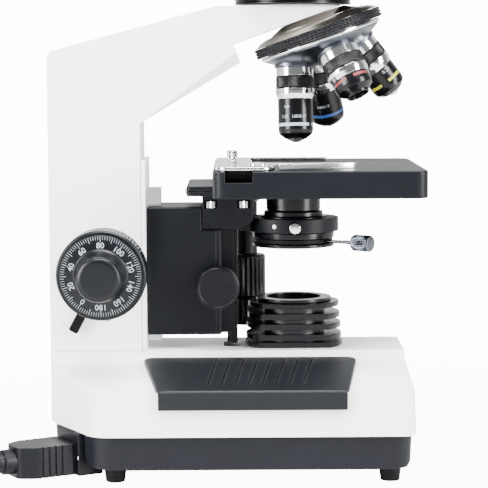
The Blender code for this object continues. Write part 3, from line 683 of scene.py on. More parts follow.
def dressed(piece, look, node):
    """Gives a piece its finish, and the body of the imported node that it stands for."""
    piece.data.materials.clear()
    piece.data.materials.append(LOOKS[look].material)
    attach(piece, frame["nodes"][node]["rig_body"])
    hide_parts(node)
    return piece


def refinish(node, look):
    """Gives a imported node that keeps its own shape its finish."""
    for slot in frame["nodes"][node].material_slots:
        slot.material = LOOKS[look].material


def cap_screw(name, node, place, radius, height):
    """A cap screw's head on the place's own Z, with its hexagonal socket."""
    profile = [(0, height), (radius, height), (radius, 0), (0, 0)]
    head = turned(profile, 0.0002, 48, flutes(24, radius * 0.06, radius * 0.9, 0, height))
    socket = extruded(arc((0, 0), radius * 0.5, 0, 300, 5), height * 0.4, height * 2)
    make(name, head, "chrome", node, place, [("cut", socket)])


# Camera, lights and floor -------------------------------------------------------------------------


def stage_look(name, reflectance, surround):
    """A pale floor that passes into the bright surround, with the object's own soft shadow on it."""
    look = Look(name, None)
    distance = (look.x * look.x + look.y * look.y) ** 0.5
    away = look.node(
        "ShaderNodeMapRange",
        {"interpolation_type": "SMOOTHSTEP"},
        {"Value": distance, "From Min": 0.10, "From Max": 0.60, "To Min": 0.86, "To Max": 1.0},
    )
    grain = look.noise(60, 3)
    look.set("Base Color", look.mix(grain, [c * 0.97 for c in reflectance], reflectance))
    look.set("Roughness", 0.85 + grain * 0.1)
    look.relief(grain, 0.00005)
    glow = look.node("ShaderNodeEmission", {}, {"Color": (1, 1, 1, 1), "Strength": surround})
    lit = Signal(look, look.surface.outputs[0])
    share = away * look.seen_by_camera()
    blend = look.node("ShaderNodeMixShader", {}, {0: share, 1: lit, 2: glow})
    look.feed(look.tree.nodes["Material Output"].inputs["Surface"], blend)
    return look.material


def make_surround(seen, felt, behind):
    """A world that the camera sees as bright, and that lights the object softly, most from behind."""
    world = bpy.data.worlds.new("studio")
    world.use_nodes = True
    sky = Nodes(world.node_tree)
    direction = sky.node("ShaderNodeTexCoord", output="Generated")
    rearward = sky.node(
        "ShaderNodeMapRange",
        {"interpolation_type": "SMOOTHSTEP"},
        {
            "Value": sky.node("ShaderNodeSeparateXYZ", {}, {0: direction}, "Y"),
            "From Min": 0.1,
            "From Max": 0.8,
        },
    )
    front = sky.node("ShaderNodeBackground", {}, {"Color": (0.93, 0.96, 1, 1), "Strength": felt})
    rear = sky.node("ShaderNodeBackground", {}, {"Color": (0.8, 0.8, 0.8, 1), "Strength": behind})
    bright = sky.node("ShaderNodeBackground", {}, {"Color": (1, 1, 1, 1), "Strength": seen})
    soft = sky.node("ShaderNodeMixShader", {}, {0: rearward, 1: front, 2: rear})
    whole = sky.node("ShaderNodeMixShader", {}, {0: sky.seen_by_camera(), 1: soft, 2: bright})
    sky.feed(sky.tree.nodes["World Output"].inputs["Surface"], whole)
    bpy.context.scene.world = world


def soft_light(name, at, target, size, power):
    lamp = bpy.data.lights.new(name, "AREA")
    lamp.shape = "RECTANGLE"
    lamp.size, lamp.size_y = size
    lamp.energy = power
    light = bpy.data.objects.new(name, lamp)
    bpy.context.scene.collection.objects.link(light)
    light.location = at
    light.rotation_euler = (Vector(target) - Vector(at)).to_track_quat("-Z", "Y").to_euler()


def make_studio():
    camera_data = bpy.data.cameras.new("camera")
    camera_data.lens = 139.9
    camera_data.sensor_width = 36.0
    camera_data.clip_end = 50
    camera = bpy.data.objects.new("camera", camera_data)
    bpy.context.scene.collection.objects.link(camera)
    tilt = 5.58
    pan = 0.12
    roll = -0.30
    at = move(-0.0325, -1.150, 0.243)
    camera.matrix_world = at @ turn(-pan, "Z") @ turn(90 - tilt, "X") @ turn(roll, "Z")
    bpy.context.scene.camera = camera

    surround = 14.0
    reach = 12.0
    corners = [(-reach, -reach, 0), (reach, -reach, 0), (reach, reach, 0), (-reach, reach, 0)]
    mesh = bpy.data.meshes.new("floor")
    mesh.from_pydata(corners, [], [(0, 1, 2, 3)])
    mesh.materials.append(stage_look("floor", (0.60, 0.60, 0.60), surround))
    floor = bpy.data.objects.new("floor", mesh)
    bpy.context.scene.collection.objects.link(floor)
    make_surround(surround, 0.30, 2.2)

    centre = (-0.02, 0, 0.16)
    soft_light("soft_left", (-1.55, -1.00, 0.75), centre, (0.7, 1.5), 135)
    soft_light("soft_right", (1.60, -1.00, 0.70), centre, (0.6, 1.5), 125)
    soft_light("soft_top", (0.10, -0.60, 1.80), centre, (1.5, 0.8), 150)


# Mains lead ---------------------------------------------------------------------------------------


def chamfer_place():
    """The middle of the rear left chamfer, with +X facing out of it."""
    front, rear = Vector((CHAMFER_X, -BASE_HALF)), Vector((BASE_REAR, -CHAMFER_Y))
    along = (rear - front).normalized()
    middle = (front + rear) / 2 + along * 0.003
    return move(middle.x, middle.y, 0) @ Matrix.Rotation(math.atan2(-along.x, along.y) + math.pi, 4, "Z")


def smoothed(points):
    """A route with a point added on the curve between each two."""
    route = []
    for k in range(len(points) - 1):
        before = points[max(k - 1, 0)]
        after = points[min(k + 2, len(points) - 1)]
        route.append(points[k])
        route.append((points[k] + points[k + 1]) * 0.5625 - (before + after) * 0.0625)
    return route + [points[-1]]


def gradual(share):
    """0 to 1 with a gentle start and end."""
    share = min(max(share, 0), 1)
    return share * share * (3 - 2 * share)


def lead_route():
    """From inside the strain relief, along the table, six turns in two layers, and into the plug."""
    inside = chamfer_place() @ Vector((RELIEF_END - 0.012, 0, INLET_Z))
    route = [inside] + smoothed([Vector(p) for p in LEAD_ROUTE])
    x, y = COIL_CENTRE
    low, high = CORD_RADIUS, 3 * CORD_RADIUS

    def coil_point(turns, radius, height):
        angle = -math.pi - turns * FULL_TURN
        return Vector((x + radius * math.cos(angle), y + radius * math.sin(angle), height))

    for k in range(10):
        share = k / 10
        route.append(coil_point(share / 4 - 0.25, 0.052 - 0.007 * gradual(share), low + 0.0002 * (1 - share)))
    radii = COIL_RADII + COIL_RADII[::-1]
    for lap in range(len(radii)):
        following = radii[min(lap + 1, len(radii) - 1)]
        for k in range(40):
            share = k / 40
            radius = radii[lap] + (following - radii[lap]) * gradual((share - 0.72) / 0.14)
            height = low if lap < 3 else high
            if lap == 2:
                height += (high - low) * gradual((share - 0.86) / 0.14)
            route.append(coil_point(lap + share, radius, height))
    end = Vector((x - COIL_RADII[0], y, high))
    route += [end + Vector((0, 0.0094 * k, 0)) for k in range(5)]
    return route


def make_lead():
    connector = chamfer_place()
    half_plan = [(0.0018, -0.0135), (0.026, -0.0135), (0.036, -0.0080)]
    body = eased(half_plan + [(x, -y) for x, y in reversed(half_plan)], 0.003)
    height = move(0, 0, INLET_Z)
    grooves = []
    for x in (0.010, 0.014, 0.018, 0.022):
        for y in (-0.0140, 0.0124):
            grooves.append(box((x, y, -0.0095), (x + 0.0012, y + 0.0016, 0.0095)))
    level = connector @ height
    shell = make("connector_body", extruded(body, -0.009, 0.009), "plastic", "cord_connector", level, [
        ("join", box((-0.0120, -0.0122, -0.0080), (0.0030, 0.0122, 0.0080))),
        ("cut", gathered(grooves)),
        ("soften", 0.0009),
    ])
    collar = [(0.0046, 0.0425), (0.0072, 0.0425), (0.0072, 0.0340), (0.0046, 0.0340)]
    along = level @ turn(90, "Y")
    ring = make("connector_collar", turned(collar, 0.0006, 64), "plastic", "cord_connector", along)
    sleeve = [(0.0034, RELIEF_END), (0.0046, RELIEF_END), (0.0060, 0.0430), (0.0060, 0.0400)]
    sleeve += [(0.0034, 0.0400)]
    slots = []
    for k in range(8):
        height_here = 0.0455 + 0.0042 * k
        for side in (0, 180):
            start = side + 90 * (k % 2) + 22
            slots.append(sector(0.0080, 0.0037, height_here, height_here + 0.0018, start, start + 136, 12))
    relief = make(
        "strain_relief", turned(sleeve, 0.0003, 48), "plastic", "cord_connector", along,
        [("cut", gathered(slots))],
    )

    wall = move(COIL_CENTRE[0] - COIL_RADII[0], COIL_CENTRE[1] + 0.0276, 0)
    grip = [(-0.0085, 0.030), (0.0085, 0.030), (0.0125, 0.040), (0.0125, 0.066), (-0.0125, 0.066)]
    grip += [(-0.0125, 0.040)]
    ridges = []
    for k in range(5):
        near, far = 0.042 + 0.004 * k, 0.0436 + 0.004 * k
        for x in (-0.0130, 0.0120):
            ridges.append(box((x, near, 0.004), (x + 0.0010, far, 0.018)))
    plug = make("plug_body", extruded(eased(grip, 0.003), 0.0004, 0.0214), "plastic", "mains_plug", wall, [
        ("soften", 0.0025),
        ("cut", gathered(ridges)),
    ])
    boot = [(0, 0.034), (0.0062, 0.034), (0.0045, 0), (0.0034, 0), (0.0034, 0.030), (0, 0.030)]
    boot_place = wall @ move(0, 0, 3 * CORD_RADIUS) @ RIGHTWARD
    plug_relief = make("plug_relief", turned(boot, 0.0003, 48), "plastic", "mains_plug", boot_place)
    blades = gathered(
        [box((x - 0.0008, 0.064, 0.0093), (x + 0.0008, 0.083, 0.0156)) for x in (-0.0064, 0.0064)]
    )
    pins = make("plug_blades", blades, "brass", "mains_plug", wall, [("soften", 0.0003)])
    earth = make(
        "plug_earth_pin", turned(disc(0.0024, 0.064, 0.086), 0.0008, 48), "brass", "mains_plug",
        wall @ move(0, 0, 0.0050) @ RIGHTWARD,
    )

    route = lead_route()
    curve = bpy.data.curves.new("mains_lead", "CURVE")
    curve.dimensions = "3D"
    curve.bevel_depth = CORD_RADIUS
    curve.bevel_resolution = 6
    curve.use_fill_caps = True
    line = curve.splines.new("POLY")
    line.points.add(len(route) - 1)
    for point, place in zip(line.points, route):
        point.co = (*place, 1)
    lead = bpy.data.objects.new("mains_lead", curve)
    bpy.context.scene.collection.objects.link(lead)
    dressed(lead, "jacket", "cord")
    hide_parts("cord_coil")


# Base ---------------------------------------------------------------------------------------------


def make_base():
    deck = rectangle(BASE_REAR, DECK_FRONT, -COLUMN_HALF, COLUMN_HALF)
    edges = at_height(base_plan(0), COVER_LOW) + at_height(base_plan(0.001), EDGE_TOP)
    cover = hulled(edges + at_height(deck, SHOULDER_TOP))
    inner = at_height(base_plan(WALL), COVER_LOW - WALL) + at_height(base_plan(0.004), EDGE_TOP - WALL)
    inner_deck = inset(deck, WALL)
    well = rectangle(-0.0428, -0.0332, -0.0100, 0.0100)
    make("base_shell", cover, "white", "base_cover", HERE, [
        ("join", extruded(deck, SHOULDER_TOP - WALL, DECK)),
        ("soften", 0.0020),
        ("cut", hulled(inner + at_height(inner_deck, SHOULDER_TOP - WALL))),
        ("cut", extruded(inner_deck, SHOULDER_TOP - 2 * WALL, DECK - WALL)),
        ("cut", turned(disc(0.015, DECK - 0.010, DECK + 0.010))),
        ("cut", extruded(well, DECK - 0.010, DECK + 0.010)),
        ("cut", box((-0.150, -0.0074, 0.0308), (-0.140, 0.0074, 0.0512))),
        ("cut", placed(turned(disc(0.0033, -0.006, 0.006)), move(0.048, BASE_HALF, 0.041) @ RIGHTWARD)),
    ])

    low = at_height(base_plan(0.0070), PAN_LOW) + at_height(base_plan(0.0044), PAN_LOW + 0.0012)
    low += at_height(base_plan(0.0032), PAN_LOW + 0.0040)
    inlet_room = placed(box((-0.0151, -0.0156, 0), (0.010, 0.0156, 0.040)), chamfer_place())
    places = (-0.030, -0.020, -0.010, 0.000, 0.010, 0.020)
    floor_slots = [box((x, -0.022, 0.005), (x + 0.003, 0.022, 0.018)) for x in places]
    make("base_pan", hulled(low + at_height(base_plan(0.0025), COVER_LOW - GAP)), "tray", "base_tray", HERE, [
        ("cut", extruded(base_plan(0.0090), PAN_LOW + 0.0025, COVER_LOW + WALL)),
        ("cut", inlet_room),
        ("cut", gathered(floor_slots)),
    ])

    top = PAN_LOW - GAP
    foot = [(0, top), (0.0063, top), (0.0063, 0.0060), (0.0055, 0), (0.0035, 0), (0.0030, 0.0012)]
    foot += [(0, 0.0012)]
    for end, x in (("rear", -0.1053), ("front", 0.0536)):
        for side, (sign, _) in SIDES.items():
            place = move(x, sign * 0.070, 0)
            make(f"foot_pad_{end}_{side}", turned(foot, 0.0006, 64), "foot", f"foot_{end}_{side}", place)


def make_armrests():
    """Each rest lies on the sloping shoulder and turns down over the cover's side."""
    slope = (SHOULDER_TOP - EDGE_TOP) / (BASE_HALF - 0.001 - COLUMN_HALF)

    def surface(y):
        return SHOULDER_TOP - slope * (y - COLUMN_HALF)

    for side, (sign, _) in SIDES.items():
        plan = [(-0.0907, 0.0320), (0.0367, 0.0320), (0.0287, 0.0916), (-0.0802, 0.0916)]
        points = []
        for inward, rise in ((0, 0.0005), (0, 0.0018), (0.0003, 0.0023), (0.0009, 0.0026)):
            outline = eased(inset(plan, inward), 0.0060, 6)
            points += [(x, sign * y, surface(y) + rise) for x, y in outline]
        lip = sorted((sign * (BASE_HALF + GAP), sign * 0.0917))
        grooves = []
        for k in range(8):
            channel = []
            for x, y in ((-0.0510 + 0.0077 * k, 0.081), (-0.0468 + 0.00808 * k, 0.037)):
                for radius, rise in ((0.0004, 0.0013), (0.0010, 0.0027), (0.0010, 0.0060)):
                    spots = arc((x, y), radius, 0, 345, 23)
                    channel += [(a, sign * b, surface(b) + rise) for a, b in spots]
            grooves.append(hulled(channel))
        make(f"arm_pad_{side}", hulled(points), "rest", f"armrest_{side}", HERE, [
            ("join", box((-0.0795, lip[0], 0.0450), (0.0280, lip[1], 0.0552))),
            ("soften", 0.0006),
            ("cut", gathered(grooves)),
        ])


def make_lamp():
    core, flat = 0.019, 0.0198
    profile = [(0.0165, 0.0988), (0.0229, 0.0988), (0.0229, 0.0966)]
    heights = ((0.0275, 0.0950), (0.0281, 0.0882), (0.0287, 0.0820), (0.0291, 0.0756), (0.0297, 0.0710))
    for radius, height in heights:
        top = min(height + 0.0016, 0.0965)
        low = max(height - 0.0016, DECK + GAP)
        profile += [(core, top + 0.0001), (radius, top), (radius, low), (core, low - 0.0001)]
    profile[-1] = (0.0120, DECK + GAP)
    profile += [(0.0120, 0.0880), (0.0165, 0.0880)]
    flats = [box((-0.04, y - 0.010, 0.06), (0.04, y + 0.010, 0.0963)) for y in (-flat - 0.010, flat + 0.010)]
    make(
        "collector_body", turned(profile, 0.0005, 128), "fins", "collector_housing", HERE,
        [("cut", gathered(flats))],
    )
    lens = [(0, 0.0925), (0.005, 0.09225), (0.008, 0.0918), (0.012, 0.0910), (0.0161, 0.0900)]
    lens += [(0.0161, 0.0883), (0, 0.0883)]
    make("collector_glass", turned(lens, 0.0003), "glass", "collector_lens")
    refinish("lamp_board", "board")


def make_power():
    chamfer = chamfer_place()
    housing = box((-0.0145, -0.015, 0.0035), (0.0012, 0.015, 0.0284))
    make("inlet_housing", housing, "plastic", "power_inlet", chamfer, [
        ("soften", 0.0008),
        ("cut", box((-0.0125, -0.0127, 0.0050), (0.010, 0.0127, 0.0220))),
    ])
    for k, y in enumerate((-0.0138, 0.0138)):
        screw = chamfer @ move(0.0010, y, 0.0140) @ turn(90, "Y")
        head = turned([(0, 0.0006), (0.0009, 0.0005), (0.0011, 0), (0, 0)], 0.0001, 32)
        make(f"inlet_screw_{k + 1}", head, "chrome", "power_inlet", screw)

    rocker = move(-0.1385, 0, 0.041) @ turn(6, "Y")
    side = eased([(-0.0078, -0.009), (0, -0.006), (0, 0.006), (-0.0078, 0.009), (-0.0068, 0)], 0.0012)
    make(
        "power_rocker_cap", extruded(side, -0.007, 0.007, "XZ"), "plastic", "power_rocker", rocker,
        [("soften", 0.0005)],
    )
    circle = turned(hoop(0.0022, 0.0017, 0, 0.0002), 0, 48)
    stroke = box((-0.0020, -0.0003, 0), (0.0020, 0.0003, 0.0002))
    for word, mark, height, lean in (("off", circle, -0.0045, -83.7), ("on", stroke, 0.0045, -96.3)):
        on_cap = rocker @ move(-0.00745, 0, height) @ turn(lean, "Y")
        make(f"rocker_{word}_mark", mark, "ink", "power_rocker", on_cap)

    dial = move(0.048, BASE_HALF, 0.041) @ RIGHTWARD
    knob = [(0, 0.0080), (0.0080, 0.0080), (0.0093, 0.0068)] + levels(0.0095, 0.0062, GAP, 6)
    knob += [(0.0028, GAP), (0.0028, -0.006), (0, -0.006)]
    ribs = flutes(36, 0.0004, 0.0094, 0.0004, 0.0064)
    make("brightness_knob", turned(knob, 0.0003, 144, ribs), "plastic", "brightness_dial", dial)
    make(
        "brightness_mark", box((-0.0004, 0.0035, 0.0079), (0.0004, 0.0072, 0.0081)), "ink",
        "brightness_dial", dial,
    )


# Arm ----------------------------------------------------------------------------------------------


def make_arm():
    half, low_half = COLUMN_HALF, 0.019
    rear, face = BASE_REAR, -0.0915
    beam = [(-0.146, 0.205), (-0.146, 0.244), (-0.144, 0.248), (-0.046, 0.274), (0.004, 0.2745)]
    beam += [(-0.030, 0.261), (-0.0915, 0.230), (-0.0915, 0.205)]
    under = [(-0.0915, 0.219), (-0.0385, 0.243), (-0.024, 0.254), (0.004, 0.262)]
    points = [(x, sign * half, z) for sign in (-1, 1) for x, z in beam]
    points += [(x, sign * low_half, z) for sign in (-1, 1) for x, z in under]
    boss = [(0, 0.275), (0.0283, 0.275), (0.0298, 0.2735), (0.0298, 0.240), (0, 0.240)]
    seat = placed(box((-0.05, -0.05, -0.08), (0.05, 0.05, -0.0345)), move(*APEX) @ turn(-TILT, "Y"))
    column = extruded(rectangle(rear, face, DECK + GAP, 0.225), -half, half, "XZ")
    make("arm_body", column, "white", "arm", HERE, [
        ("join", hulled(points)),
        ("join", turned(boss, 0.0008, 128)),
        ("soften", 0.0028),
        ("cut", seat),
        ("cut", turned(disc(0.011, 0.230, 0.290), 0)),
        ("cut", box((-0.123, -0.016, 0.081), (-0.0865, 0.016, 0.165))),
        ("cut", placed(turned(disc(0.0050, -0.030, 0.030), 0), move(*FOCUS) @ LEFTWARD)),
    ])
    for side, (sign, facing) in SIDES.items():
        screw = move(-0.1115, sign * (half - 0.0004), 0.0895) @ facing
        head = turned([(0, 0.0007), (0.0022, 0.0007), (0.0026, 0), (0, 0)], 0.0002, 48)
        make(f"pillar_screw_{side}", head, "steel", "arm", screw)

    front = rectangle(-0.0912, -0.0885, -half, half)
    make("arm_front", extruded(front, DECK + GAP, 0.183), "white", "arm_front_plate", HERE, [
        ("soften", 0.0006),
        ("cut", box((-0.1, 0.002, 0.076), (-0.08, 0.010, 0.166))),
    ])
    refinish("focus_rail", "steel")
    collar = [(0.0350, 0.2790), (0.0350, 0.2776), (0.0344, 0.2772), (0.0344, 0.2766)]
    collar += [(0.0350, 0.2762), (0.0350, 0.2753), (0.0205, 0.2753), (0.0205, 0.2790)]
    make("head_collar", turned(collar, 0.0002, 128), "fins", "head_ring")


# Focus block and stage bracket --------------------------------------------------------------------


def make_carriage():
    rear, front, low = -0.0881, -0.0438, 0.078
    notch_x, notch_z = -0.0553, 0.1417
    side = [(rear, low), (front, low), (front, notch_z), (notch_x, notch_z), (notch_x, 0.155), (rear, 0.155)]
    centre = move(*CONDENSER_DRIVE) @ LEFTWARD
    work = [("soften", 0.0012), ("cut", box((-0.095, -0.0154, 0.07), (-0.0796, -0.0006, 0.16)))]
    for sign in (-1, 1):
        cheek = sorted((sign * 0.0094, sign * 0.0140))
        work.append(("join", box((front - 0.001, cheek[0], low + 0.0004), (-0.0362, cheek[1], notch_z))))
        seam = sorted((sign * 0.0207, sign * 0.0220))
        work.append(("cut", box((-0.0441 - 0.0030, seam[0], 0.070), (-0.0441 - 0.0026, seam[1], 0.145))))
    work.append(("cut", placed(turned(disc(0.0056, -0.0060, 0.0060), 0), centre)))
    work.append(("cut", placed(turned(disc(0.0034, -0.0080, 0.0300), 0), centre)))
    make("focus_housing", extruded(side, -0.021, 0.021, "XZ"), "black", "focus_block", HERE, work)
    refinish("focus_rack", "brass")

    bottom, top = notch_z + GAP, 0.1621
    outline = [(-0.055, bottom), (-0.0325, bottom), (-0.0247, 0.1466), (-0.0247, top), (-0.055, top)]
    pockets = []
    for sign in (-1, 1):
        for x in (-0.0500, -0.0302):
            reach = sorted((sign * 0.0128, sign * 0.0210))
            pockets.append(box((x - 0.0040, reach[0], 0.1538), (x + 0.0040, reach[1], 0.1590)))
    body = extruded(eased(outline, 0.0008), -0.020, 0.020, "XZ")
    make("bracket_body", body, "black", "stage_bracket", HERE, [
        ("soften", 0.0006),
        ("cut", box((-0.0395, -0.0142, 0.135), (-0.020, 0.0142, 0.1500))),
        ("cut", gathered(pockets)),
    ])
    for side, (sign, _) in SIDES.items():
        for k, x in enumerate((-0.0500, -0.0302)):
            place = move(x, sign * 0.0164, 0.1541)
            cap_screw(f"bracket_screw_{side}_{k + 1}", "stage_bracket", place, 0.0032, 0.0042)

    plan = eased(rectangle(-0.064, 0.032, -0.036, 0.036), 0.003)
    lines = [box((-0.066, y - 0.0010, 0.1650), (0.034, y + 0.0010, 0.1658)) for y in (-0.0356, 0.0356)]
    make("guide_plate", extruded(plan, 0.1624, 0.1683), "black", "stage_guide", HERE, [
        ("soften", 0.0004),
        ("cut", turned(disc(0.0172, 0.15, 0.18), 0)),
        ("cut", gathered(lines)),
    ])
    cap_screw("guide_screw", "stage_guide", move(-0.0638, -0.030, 0.1655) @ turn(-90, "Y"), 0.0017, 0.0010)


def make_focus_knobs():
    refinish("coarse_shaft", "steel")
    refinish("fine_shaft", "steel")
    wheel = [(0.0250, 0.0740)] + levels(0.0260, 0.0730, 0.0550, 6)
    wheel += [(0.0250, 0.0540), (0.0140, 0.0540), (0.0140, 0.0340), (0.0048, 0.0340), (0.0048, 0.0550)]
    wheel += [(0.0026, 0.0550), (0.0026, 0.0740)]
    ribs = flutes(72, 0.0009, 0.0255, 0.0560, 0.0722)
    grip = [(0, 0.0970), (0.0100, 0.0970), (0.0120, 0.0962), (0.0129, 0.0948)]
    grip += levels(0.0130, 0.0936, 0.0838, 5)
    grip += [(0.0134, 0.0815), (0.0142, 0.0792), (0.0156, 0.0777), (0.0235, 0.0770), (0.0235, 0.0743)]
    grip += [(0.0023, 0.0743), (0.0023, 0.0815), (0, 0.0815)]
    for side, (_, facing) in SIDES.items():
        place = move(*FOCUS) @ facing
        make(f"coarse_grip_{side}", turned(wheel, 0.0004, 432, ribs), "dial", f"coarse_knob_{side}", place)
        hub = turned(grip, 0.0005, 288, flutes(72, 0.00035, 0.0129, 0.0845, 0.0935))
        make(f"fine_grip_{side}", hub, "dial", f"fine_knob_{side}", place)

    face = move(*FOCUS) @ LEFTWARD
    ticks, numerals = [], []
    slope = 0.0886
    lean = -5.06

    def on_face(radius):
        return 0.0777 - (radius - 0.0156) * slope

    for k in range(100):
        inner = 0.0197 if k % 5 == 0 else 0.0209
        half = 0.00011 if k % 5 == 0 else 0.00008
        points = []
        for radius in (inner, 0.0231):
            for across in (-half, half):
                points += [(across, radius, on_face(radius) + rise) for rise in (-0.0001, 0.00006)]
        ticks.append(placed(hulled(points), turn(-3.6 * k, "Z")))
    for k in range(10):
        flat = lettering(str((80 + 20 * k) % 200), 0.0046)
        number = placed(flat, move(0, 0.0176, on_face(0.0176)) @ turn(lean, "X"))
        numerals.append(placed(number, turn(-36 * k, "Z")))
    make("fine_dial_ticks", gathered(ticks), "ink", "fine_knob_left", face)
    make("fine_dial_numerals", gathered(numerals), "ink", "fine_knob_left", face)

    collar = turned(hoop(0.0125, 0.0050, COLUMN_HALF + GAP, 0.0320), 0.0004, 96)
    hanging = move(*FOCUS) @ turn(118, "Y")
    make("tension_collar", collar, "lever", "tension_lever", hanging @ LEFTWARD)
    bar = eased(rectangle(0.008, 0.0435, -0.0029, 0.0029), 0.0012)
    lever = extruded(bar, -0.0318, -0.0276, "XZ")
    make("tension_arm", lever, "lever", "tension_lever", hanging, [("soften", 0.0005)])


# Condenser ----------------------------------------------------------------------------------------


def make_condenser():
    pitch_x, pitch = CONDENSER_DRIVE.x + 0.0045, math.pi * 0.0009
    bar = rectangle(-0.0389, -0.0342, -0.009, 0.009)
    work = [("soften", 0.0004)]
    teeth = []
    for k in range(-11, 10):
        middle = CONDENSER_DRIVE.z + (k + 0.5) * pitch
        tooth = [(-0.0386, middle - 0.0011), (pitch_x + 0.0008, middle - 0.00065)]
        tooth += [(pitch_x - 0.0005, middle - 0.00025)]
        tooth += [(x, 2 * middle - z) for x, z in reversed(tooth)]
        teeth.append(extruded(tooth, -0.004, 0.004, "XZ"))
    work.append(("join", gathered([box((pitch_x + 0.0008, -0.004, 0.071), (-0.0385, 0.004, 0.138))])))
    lines = [box((-0.0347, y - 0.0006, 0.070), (-0.0335, y + 0.0006, 0.150)) for y in (-0.0055, 0.0055)]
    work.append(("cut", gathered(lines)))
    make("condenser_slide", extruded(bar, 0.0712, 0.1472), "black", "condenser_rack", HERE, work)
    make("condenser_teeth", gathered(teeth), "brass", "condenser_rack")

    low, top, centre = 0.1391, 0.1474, move(0, 0, 0.1432)
    ring = [(0.0274, top), (0.0274, low), (0.0203, low), (0.0203, top)]
    make("condenser_clamp", turned(ring, 0.0004, 128), "black", "condenser_holder", HERE, [
        ("join", box((-0.0339, -0.008, low + 0.0003), (-0.0240, 0.008, top - 0.0003))),
        ("cut", turned(disc(0.0304, 0.158, 0.182), 0)),
        ("cut", placed(turned(disc(0.0021, 0.0150, 0.0300), 0), centre @ LEFTWARD)),
    ])
    dot = centre @ turn(-26, "Z") @ LEFTWARD @ move(0, 0, 0.0272)
    rim = turned(hoop(0.0012, 0.0005, -0.001, 0.0004), 0, 32)
    make("centring_screw", rim, "steel", "condenser_holder", dot)
    screw = [(0, 0.0370), (0.0030, 0.0370)] + levels(0.0034, 0.0365, 0.0292, 4)
    screw += [(0.0018, 0.0280), (0.0018, 0.0207), (0, 0.0207)]
    knurled = turned(screw, 0.0002, 96, flutes(24, 0.0003, 0.0033, 0.0295, 0.0362))
    make("condenser_clamp_knob", knurled, "chrome", "condenser_clamp_screw", centre @ LEFTWARD)

    outside = [(0.0125, 0.1760), (0.0129, 0.1760), (0.0129, 0.1720), (0.0164, 0.1712)]
    outside += [(0.0164, 0.1518), (0.0135, 0.1515)]
    outside += [(0.0179, 0.1510), (0.0179, 0.1484), (0.0200, 0.1480), (0.0200, 0.1388), (0.0247, 0.1386)]
    outside += [(0.0247, 0.1352), (0.0208, 0.1350), (0.0208, 0.1320), (0.0247, 0.1318), (0.0247, 0.1298)]
    inside = [(0.0160, 0.1298), (0.0120, 0.1380), (0.0105, 0.1740), (0.0125, 0.1740)]
    make("condenser_body", turned(outside + inside, 0.0003, 128), "fins", "condenser_barrel")
    lens = [(0, 0.1780), (0.003, 0.1779), (0.006, 0.1776), (0.0095, 0.1770), (0.0122, 0.1762)]
    lens += [(0.0122, 0.1743), (0, 0.1743)]
    make("condenser_glass", turned(lens, 0.0002), "glass", "condenser_lens")

    iris = move(0, 0, 0.1335) @ turn(-35, "Z")
    make("iris_ring", turned(hoop(0.0238, 0.0212, -0.0010, 0.0010), 0.0002), "lever", "iris_lever", iris)
    stem = [(0, 0.0550), (0.0044, 0.0550)] + levels(0.0049, 0.0542, 0.0437, 4)
    stem += [(0.0044, 0.0430), (0.0016, 0.0425), (0.0012, 0.0415), (0.0009, 0.0225), (0, 0.0225)]
    knurl = flutes(30, 0.0004, 0.0048, 0.0440, 0.0540)
    make("iris_handle", turned(stem, 0.0002, 120, knurl), "satin", "iris_lever", iris @ turn(90, "Y"))

    knob = [(0, 0.0346), (0.0108, 0.0346), (0.0112, 0.0350), (0.0119, 0.0350)]
    knob += levels(0.0127, 0.0342, 0.0240, 4)
    knob += [(0.0120, 0.0228), (0.0030, 0.0226), (0.0030, -0.0060), (0, -0.0060)]
    ribs = flutes(60, 0.0004, 0.0126, 0.0245, 0.0338)
    on_shaft = move(*CONDENSER_DRIVE) @ LEFTWARD
    make("condenser_wheel", turned(knob, 0.0003, 240, ribs), "plastic", "condenser_knob", on_shaft)


# Stage --------------------------------------------------------------------------------------------


